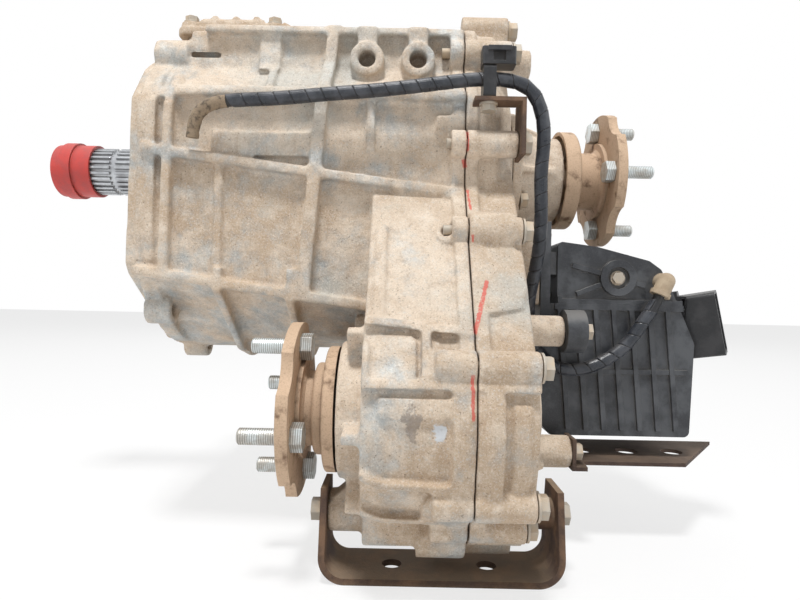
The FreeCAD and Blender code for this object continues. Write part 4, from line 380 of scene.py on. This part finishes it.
class Finish:
    """One material and the nodes behind its shader."""

    def __init__(self, name):
        self.material = bpy.data.materials.new(name)
        self.material.use_nodes = True
        self.tree = self.material.node_tree
        self.shader = self.tree.nodes["Principled BSDF"]
        self.place = self.node("ShaderNodeTexCoord", output="Object")
        self.geometry = self.node("ShaderNodeNewGeometry", output="Normal")

    def node(self, kind, settings=None, inputs=None, output=0):
        made = self.tree.nodes.new(kind)
        for name, value in (settings or {}).items():
            setattr(made, name, value)
        for key, value in (inputs or {}).items():
            if isinstance(value, Wire):
                self.tree.links.new(value.socket, made.inputs[key])
            else:
                made.inputs[key].default_value = value
        return Wire(self, made.outputs[output])

    def set(self, **inputs):
        for name, value in inputs.items():
            socket = self.shader.inputs[name.replace("_", " ")]
            if isinstance(value, Wire):
                self.tree.links.new(value.socket, socket)
            else:
                socket.default_value = value
        return self.material

    def along(self, axis, source=None):
        return self.node("ShaderNodeSeparateXYZ", None, {0: source or self.place}, output=axis)

    def noise(self, scale, detail=4.0, roughness=0.55, stretch=(1, 1, 1), shift=0.0):
        where = self.place
        if stretch != (1, 1, 1) or shift:
            moves = {"Vector": self.place, "Scale": stretch, "Location": (shift, shift, shift)}
            where = self.node("ShaderNodeMapping", None, moves)
        sizes = {"Vector": where, "Scale": scale, "Detail": detail, "Roughness": roughness}
        return self.node("ShaderNodeTexNoise", None, sizes)

    def mix(self, share, under, over):
        """Colour under where share is 0, over where it is 1."""
        parts = {0: share, 6: rgba(under), 7: rgba(over)}
        return self.node("ShaderNodeMix", {"data_type": "RGBA"}, parts, output=2)

    def hollow(self, reach):
        """1 deep in a corner, 0 in the open."""
        settings = {"samples": 6}
        open_share = self.node("ShaderNodeAmbientOcclusion", settings, {"Distance": reach}, output="AO")
        return 1 - open_share

    def soft_edge(self, radius):
        return self.node("ShaderNodeBevel", {"samples": 6}, {"Radius": radius})

    def edge(self, rounded, low=0.02, high=0.2):
        """1 along an outer or inner edge: there the rounded normal leaves the true one."""
        pair = {0: rounded, 1: self.geometry}
        same = self.node("ShaderNodeVectorMath", {"operation": "DOT_PRODUCT"}, pair, output="Value")
        return (1 - same).ramp(low, high)

    def bump(self, height, distance, strength=1.0, normal=None):
        parts = {"Height": height, "Distance": distance, "Strength": strength}
        if normal is not None:
            parts["Normal"] = normal
        return self.node("ShaderNodeBump", None, parts)


def rgba(colour):
    return colour if isinstance(colour, Wire) else (*colour, 1.0)


finishes = {}
print("shader maths ready")

# %% [markdown]
# ## Dusty cast aluminium
# The case is sand cast: a fine grain everywhere, softer edges than a machined part has, and a
# skin of dried mud and dust. The dust is thick on faces that look up, and it has gone from a few
# washed patches, where grey metal shows. Corners are painted a dark brown and tight creases
# nearly black, as painted shade. Each of those is a mask, and the colour is a stack of layers
# from metal to dust. A Bevel node rounds the edges in the shading only, so the solid keeps its
# faces.

# %% Marks on the case
def stroke(f, across, up, start, end, width, ragged):
    """A painted stroke between two places on the near side, given as (X, Z) in metres."""
    run = (end[0] - start[0], end[1] - start[1])
    length = math.hypot(*run)
    way = (run[0] / length, run[1] / length)
    from_x = across - start[0]
    from_z = up - start[1]
    along = from_x * way[0] + from_z * way[1]
    aside = abs(from_x * way[1] - from_z * way[0])
    inside = along.ramp(-0.0008, 0.0008) * (1 - along.ramp(length - 0.0008, length + 0.0008))
    return (1 - (aside + ragged).ramp(width * 0.6, width)) * inside


red_strokes = [
    ((0.2525, 0.013), (0.2535, -0.005), 0.0011), ((0.2515, -0.009), (0.2530, -0.015), 0.0022),
    ((0.2545, -0.033), (0.2560, -0.050), 0.0011), ((0.2550, -0.071), (0.2558, -0.076), 0.0010),
    ((0.2636, -0.1035), (0.2530, -0.1385), 0.0017), ((0.2496, -0.162), (0.2500, -0.189), 0.0013),
]


def paint_marks(f, colour, mottle):
    across, near, up = (f.along(axis) for axis in (0, 1, 2))
    near_side = 1 - near.ramp(-0.095, -0.085)
    ragged = (f.noise(420.0, 3.0, 0.7) - 0.5) * 0.0026
    paint = near_side * 0.0
    for start, end, width in red_strokes:
        paint = paint.most(stroke(f, across, up, start, end, width, ragged))
    paint = paint * near_side * mottle.ramp(0.25, 0.45)
    colour = f.mix(paint * 0.85, colour, (0.62, 0.11, 0.085))
    # scuffs that went through to the metal
    off_x = (across - 0.2305) * 150.0
    off_z = (up + 0.1975) * 110.0
    round_off = (off_x * off_x + off_z * off_z) ** 0.5
    torn = f.noise(170.0, 4.0, 0.75)
    scuff = (1 - (round_off + torn * 1.6).ramp(1.25, 1.45)) * near_side
    far_x = (across - 0.2135) * 110.0
    far_z = (up + 0.192) * 70.0
    second = (far_x * far_x + far_z * far_z) ** 0.5
    scuff_dark = (1 - (second + torn * 2.2).ramp(1.55, 1.85)) * near_side
    colour = f.mix(scuff_dark * 0.6, colour, (0.20, 0.17, 0.15))
    colour = f.mix(scuff, colour, (0.66, 0.68, 0.70))
    return colour, scuff


# %% Cast aluminium
def cast_finish(name, dust=0.55, washed=0.35, marks=False):
    f = Finish(name)
    cloud = f.noise(10.0, 5.0, 0.6)
    patch = f.noise(24.0, 6.0, 0.68, shift=3.7)
    blotch = f.noise(75.0, 5.0, 0.65, shift=1.3)
    mottle = f.noise(260.0, 3.0, 0.65)
    speck = f.noise(820.0, 2.0, 0.75)
    fleck = f.noise(560.0, 2.0, 0.7, shift=5.1)
    rounded = f.soft_edge(0.0009)
    # Painted shade: these two masks darken corners to brown and tight creases nearly to black.
    corner = f.hollow(0.014).ramp(0.30, 0.95)
    crease_shade = f.hollow(0.004).ramp(0.35, 0.95)
    up = f.along(2, f.geometry)
    metal = f.mix(blotch.ramp(0.35, 0.7), (0.37, 0.39, 0.39), (0.56, 0.57, 0.55))
    tan = f.mix(cloud.ramp(0.38, 0.62), (0.50, 0.385, 0.275), (0.66, 0.55, 0.435))
    tan = f.mix(blotch.ramp(0.48, 0.72) * 0.6, tan, (0.75, 0.655, 0.545))
    tan = f.mix((1 - blotch).ramp(0.50, 0.70) * 0.6, tan, (0.43, 0.305, 0.20))
    dusty = (patch + up * 0.06 + blotch * 0.25 + (dust - 0.62)).ramp(0.34, 0.62)
    colour = f.mix(dusty, metal, tan)
    clean = (f.noise(7.0, 4.0, 0.6, shift=9.1) + patch * 0.4).ramp(0.84 - washed * 0.3, 1.0 - washed * 0.3)
    colour = f.mix(clean * 0.62, colour, (0.43, 0.48, 0.48))
    streak = f.noise(1.0, 5.0, 0.66, stretch=(150.0, 150.0, 16.0), shift=2.2)
    colour = f.mix(streak.ramp(0.56, 0.72) * 0.38, colour, (0.36, 0.26, 0.175))
    colour = f.mix((1 - streak).ramp(0.58, 0.74) * 0.32, colour, (0.80, 0.72, 0.62))
    # Painted shade in corners and in tight creases.
    colour = f.mix(corner * 0.72, colour, (0.27, 0.185, 0.115))
    colour = f.mix(crease_shade * 0.75, colour, (0.085, 0.06, 0.042))
    colour = f.mix(speck.ramp(0.54, 0.66) * 0.32, colour, (0.86, 0.80, 0.72))
    colour = f.mix((1 - speck).ramp(0.55, 0.67) * 0.36, colour, (0.33, 0.24, 0.165))
    colour = f.mix(fleck.ramp(0.60, 0.68) * 0.34, colour, (0.50, 0.55, 0.58))
    colour = f.mix((1 - fleck).ramp(0.64, 0.71) * 0.6, colour, (0.12, 0.09, 0.065))
    shine = (1 - dusty) * 0.25
    if marks:
        colour, scuff = paint_marks(f, colour, mottle)
        shine = shine.most(scuff * 0.85)
    height = mottle * 0.8 + speck * 0.5 + blotch * 1.6 + patch * 2.0
    f.set(Base_Color=colour, Roughness=dusty * 0.3 + 0.52, Metallic=shine)
    f.set(Normal=f.bump(height, 0.0008, 0.9, rounded))
    finishes[name] = f.material
    return f.material


cast_finish("cast_case", marks=True)
cast_finish("cast_rear", dust=0.60, washed=0.25, marks=True)
cast_finish("cast_cover", dust=0.75, washed=0.05)
print(sorted(finishes))

# %% [markdown]
# ## Steel, rust, plastic and rubber
# Every other finish is a variation on the same idea: a base, a second tone carried by noise, soil
# and painted shade in the corners, wear on the edges, and a height for the bump.

# %% One general finish
def layered(
    name,
    base,
    second,
    dirt_and_shade,
    rough,
    metal=0.0,
    dirt_and_shade_share=0.6,
    wear=None,
    scale=60.0,
    grain=900.0,
    depth=0.0003,
    edge=0.0006,
    lie=0.0,
    reach=0.006,
    amount=0.5,
    pitch=0.0,
):
    """Two tones, soil and painted shade in corners, wear on edges. lie is dust that lies on top; pitch is a
    thread's.
    """
    f = Finish(name)
    broad = f.noise(scale, 5.0, 0.62)
    fine = f.noise(grain, 3.0, 0.6)
    rounded = f.soft_edge(edge)
    # Dirt and painted shade together: hollows take the corner colour, which for most finishes is darker
    # than the base.
    corner = f.hollow(reach).ramp(0.2, 0.8)
    colour = f.mix(broad.ramp(0.62 - amount * 0.4, 0.82 - amount * 0.4), base, second)
    colour = f.mix(fine.ramp(0.45, 0.75) * 0.35, colour, second)
    grime_and_shade = corner * dirt_and_shade_share
    if lie:
        grime_and_shade = grime_and_shade.most((f.along(2, f.geometry) + broad * 0.8).ramp(0.75, 1.3) * lie)
    colour = f.mix(grime_and_shade, colour, dirt_and_shade)
    if wear:
        colour = f.mix(f.edge(rounded) * fine.ramp(0.3, 0.55) * 0.7, colour, wear)
    if pitch:
        # Painted shade: dark bands on the round side of a stud stand for the shade in its thread grooves.
        turn = (f.along(0) * (math.tau / pitch)).sine()
        round_side = 1 - abs(f.along(0, f.geometry)).ramp(0.2, 0.5)
        colour = f.mix(turn.ramp(-0.3, 0.9) * round_side * 0.62, colour, (0.13, 0.12, 0.11))
    roughness = broad * 0.25 + grime_and_shade * 0.3 + (rough - 0.12)
    f.set(Base_Color=colour, Roughness=roughness, Metallic=(1 - grime_and_shade) * metal)
    f.set(Normal=f.bump(fine + broad * 2.0, depth, 0.8, rounded))
    finishes[name] = f.material
    return f.material


# The corner colour for zinc and bolt steel: dirt and painted shade in their hollows.
mud = (0.40, 0.30, 0.20)
layered(
    "bare_steel",
    base=(0.52, 0.54, 0.56),
    second=(0.40, 0.41, 0.43),
    dirt_and_shade=(0.10, 0.08, 0.06),
    rough=0.30,
    metal=1.0,
    dirt_and_shade_share=0.5,
    grain=400.0,
    depth=0.00005,
)
layered(
    "gear_steel",
    base=(0.33, 0.33, 0.34),
    second=(0.22, 0.20, 0.18),
    dirt_and_shade=(0.05, 0.04, 0.03),
    rough=0.35,
    metal=1.0,
    depth=0.00005,
)
layered(
    "zinc_steel",
    base=(0.66, 0.72, 0.73),
    second=(0.46, 0.44, 0.40),
    dirt_and_shade=mud,
    rough=0.42,
    metal=0.6,
    wear=(0.75, 0.76, 0.76),
    pitch=0.0015,
)
layered(
    "bolt_steel",
    base=(0.44, 0.40, 0.34),
    second=(0.50, 0.40, 0.29),
    dirt_and_shade=mud,
    rough=0.62,
    metal=0.25,
    wear=(0.62, 0.60, 0.56),
    dirt_and_shade_share=0.8,
)
layered(
    "rusty_steel",
    base=(0.075, 0.045, 0.032),
    second=(0.17, 0.10, 0.06),
    dirt_and_shade=(0.33, 0.25, 0.17),
    rough=0.78,
    metal=0.1,
    scale=45.0,
    lie=0.5,
)
layered(
    "plate_steel",
    base=(0.10, 0.062, 0.042),
    second=(0.055, 0.034, 0.026),
    dirt_and_shade=(0.26, 0.19, 0.13),
    rough=0.72,
    metal=0.15,
    scale=38.0,
    lie=0.25,
)
layered(
    "flange_steel",
    base=(0.58, 0.42, 0.29),
    second=(0.19, 0.115, 0.07),
    dirt_and_shade=(0.06, 0.045, 0.035),
    rough=0.74,
    metal=0.15,
    scale=70.0,
    wear=(0.70, 0.56, 0.41),
    amount=0.25,
)
layered(
    "black_plastic",
    base=(0.022, 0.024, 0.029),
    second=(0.075, 0.08, 0.088),
    dirt_and_shade=(0.20, 0.19, 0.175),
    rough=0.42,
    scale=30.0,
    lie=0.55,
    depth=0.00015,
)
layered(
    "socket_plastic",
    base=(0.010, 0.011, 0.013),
    second=(0.03, 0.03, 0.033),
    dirt_and_shade=(0.10, 0.09, 0.08),
    rough=0.38,
    scale=50.0,
    lie=0.2,
    depth=0.0001,
)
layered(
    "red_plastic",
    base=(0.56, 0.055, 0.045),
    second=(0.46, 0.06, 0.055),
    dirt_and_shade=(0.33, 0.13, 0.10),
    rough=0.42,
    scale=70.0,
    lie=0.15,
    depth=0.0001,
)
layered(
    "wrap_rubber",
    base=(0.020, 0.024, 0.032),
    second=(0.055, 0.060, 0.072),
    dirt_and_shade=(0.16, 0.14, 0.12),
    rough=0.30,
    scale=60.0,
    lie=0.3,
    depth=0.0001,
    edge=0.0003,
)
layered(
    "tube_rubber",
    base=(0.30, 0.225, 0.15),
    second=(0.10, 0.075, 0.055),
    dirt_and_shade=(0.07, 0.05, 0.04),
    rough=0.80,
    scale=240.0,
    amount=0.35,
    depth=0.0006,
)
layered(
    "dark_tube",
    base=(0.012, 0.013, 0.016),
    second=(0.03, 0.03, 0.03),
    dirt_and_shade=(0.05, 0.04, 0.03),
    rough=0.5,
    scale=90.0,
)
layered(
    "boot_rubber",
    base=(0.50, 0.40, 0.28),
    second=(0.38, 0.29, 0.20),
    dirt_and_shade=(0.15, 0.11, 0.08),
    rough=0.75,
    scale=80.0,
)
layered(
    "seal_rubber",
    base=(0.035, 0.028, 0.024),
    second=(0.06, 0.045, 0.035),
    dirt_and_shade=(0.12, 0.09, 0.06),
    rough=0.45,
)
print(sorted(finishes))

# %% [markdown]
# ## Give every node its finish
# The solids keep their shape. Only the material in each slot changes.

# %% Dress the nodes
worn_by = {
    "cast_case": "input_retainer",
    "bolt_steel": "split_bolts housing_bolts cover_bolts case_plugs actuator_bolts bracket_bolts",
    "bare_steel": "input_shaft actuator_pins actuator_motor rear_output_shaft front_output_shaft",
    "zinc_steel": "rear_studs front_studs",
    "gear_steel": "ring_gear planet_carrier planet_gear_1 planet_gear_2 planet_gear_3"
    " planet_gear_4 planet_pins high_low_sleeve lock_sleeve differential_case"
    " differential_planets differential_ring front_drive_shaft drive_sprocket"
    " driven_sprocket drive_chain high_low_rail lock_rail high_low_pinion lock_pinion"
    " bearing_outer_rings input_inner_ring rear_inner_ring front_inner_rings",
    "red_plastic": "shaft_cap",
    "seal_rubber": "shaft_seals",
    "flange_steel": "rear_flange front_flange rear_deflector front_deflectors high_low_fork lock_fork",
    "black_plastic": "actuator_housing actuator_cover",
    "socket_plastic": "actuator_connector hose_clip",
    "rusty_steel": "guard_strap strap_spacer hose_bracket",
    "plate_steel": "guard_plate",
    "boot_rubber": "hose_boot",
}
dressed = set()
for finish_name, node_names in worn_by.items():
    for node_name in node_names.split():
        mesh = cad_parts[node_name].data
        mesh.materials.clear()
        mesh.materials.append(finishes[finish_name])
        dressed.add(node_name)
for piece, finish_name in (
    (hose, "dark_tube"),
    (hose_end, "tube_rubber"),
    (hose_mouth, "tube_rubber"),
    (hose_wrap, "wrap_rubber"),
):
    piece.data.materials.append(finishes[finish_name])
for node_name, finish_name in (
    ("front_case", "cast_case"),
    ("rear_case", "cast_rear"),
    ("rear_extension", "cast_cover"),
    ("top_cover", "cast_cover"),
):
    castings[node_name].data.materials.append(finishes[finish_name])
    dressed.add(node_name)
left_over = set(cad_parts) - dressed - {"breather_hose"}
print("dressed", len(dressed), "left over", sorted(left_over))

# %% [markdown]
# ## Floor and light
# A pale floor lies at the lowest point. The world is white where the lens or a mirror looks at
# it, and a soft grey where it lights the case, so nothing is overlit. A fairly small lamp high in
# front is the sun, which gives the ribs their shadows. Three large soft lamps, one to each side
# and one behind, stand in for the open sky.

# %% Floor
floor_z = cad_box[0][2]
floor_half = 6.0
floor_corners = [(x * floor_half, y * floor_half, floor_z) for x, y in ((-1, -1), (1, -1), (1, 1), (-1, 1))]
floor_mesh = bpy.data.meshes.new("floor")
floor_mesh.from_pydata(floor_corners, [], [(0, 1, 2, 3)])
floor = bpy.data.objects.new("floor", floor_mesh)
bpy.context.scene.collection.objects.link(floor)
f = Finish("floor_paint")
ray = f.node("ShaderNodeLightPath", output="Is Camera Ray")
glow = f.node("ShaderNodeEmission", None, {"Color": (1, 1, 1, 1), "Strength": 1.0}, output="Emission")
f.set(Base_Color=(0.86, 0.86, 0.86, 1.0), Roughness=0.9)
glow_share = 0.72
shaders = {0: ray * glow_share, 1: Wire(f, f.shader.outputs[0]), 2: glow}
both = f.node("ShaderNodeMixShader", None, shaders, output=0)
f.tree.links.new(both.socket, f.tree.nodes["Material Output"].inputs["Surface"])
floor.data.materials.append(f.material)

# %% World
world = bpy.data.worlds.new("studio")
bpy.context.scene.world = world
world.use_nodes = True
tree = world.node_tree
path = tree.nodes.new("ShaderNodeLightPath")
seen = tree.nodes.new("ShaderNodeMath")
seen.operation = "MAXIMUM"
tree.links.new(path.outputs["Is Camera Ray"], seen.inputs[0])
tree.links.new(path.outputs["Is Glossy Ray"], seen.inputs[1])
seen_through = tree.nodes.new("ShaderNodeMath")
seen_through.operation = "MAXIMUM"
tree.links.new(seen.outputs[0], seen_through.inputs[0])
tree.links.new(path.outputs["Is Transmission Ray"], seen_through.inputs[1])
level = tree.nodes.new("ShaderNodeMapRange")
tree.links.new(seen_through.outputs[0], level.inputs["Value"])
lighting_level = 0.38
seen_level = 1.0
level.inputs["To Min"].default_value = lighting_level
level.inputs["To Max"].default_value = seen_level
tree.links.new(level.outputs[0], tree.nodes["Background"].inputs["Strength"])
tree.nodes["Background"].inputs["Color"].default_value = (1.0, 1.0, 1.0, 1.0)


# %% Lamps
lamps_aim = (0.2, 0.0, -0.1)


def soft_lamp(name, place, size, watts):
    lamp = bpy.data.objects.new(name, bpy.data.lights.new(name, "AREA"))
    lamp.data.shape = "SQUARE"
    lamp.data.size = size
    lamp.data.energy = watts
    lamp.location = place
    aim = Vector(lamps_aim) - Vector(place)
    lamp.rotation_euler = aim.to_track_quat("-Z", "Y").to_euler()
    bpy.context.scene.collection.objects.link(lamp)


soft_lamp("sky", (0.0, -0.95, 2.3), 0.42, 58.0)
soft_lamp("left", (-2.0, -1.4, 0.9), 1.2, 9.0)
soft_lamp("right", (2.2, -0.9, 0.8), 1.2, 6.0)
soft_lamp("behind", (0.3, 2.2, 1.4), 1.6, 14.0)
bpy.context.scene.view_settings.view_transform = "Standard"
print("lamps 4")

# %% Finish
bpy.context.view_layer.update()
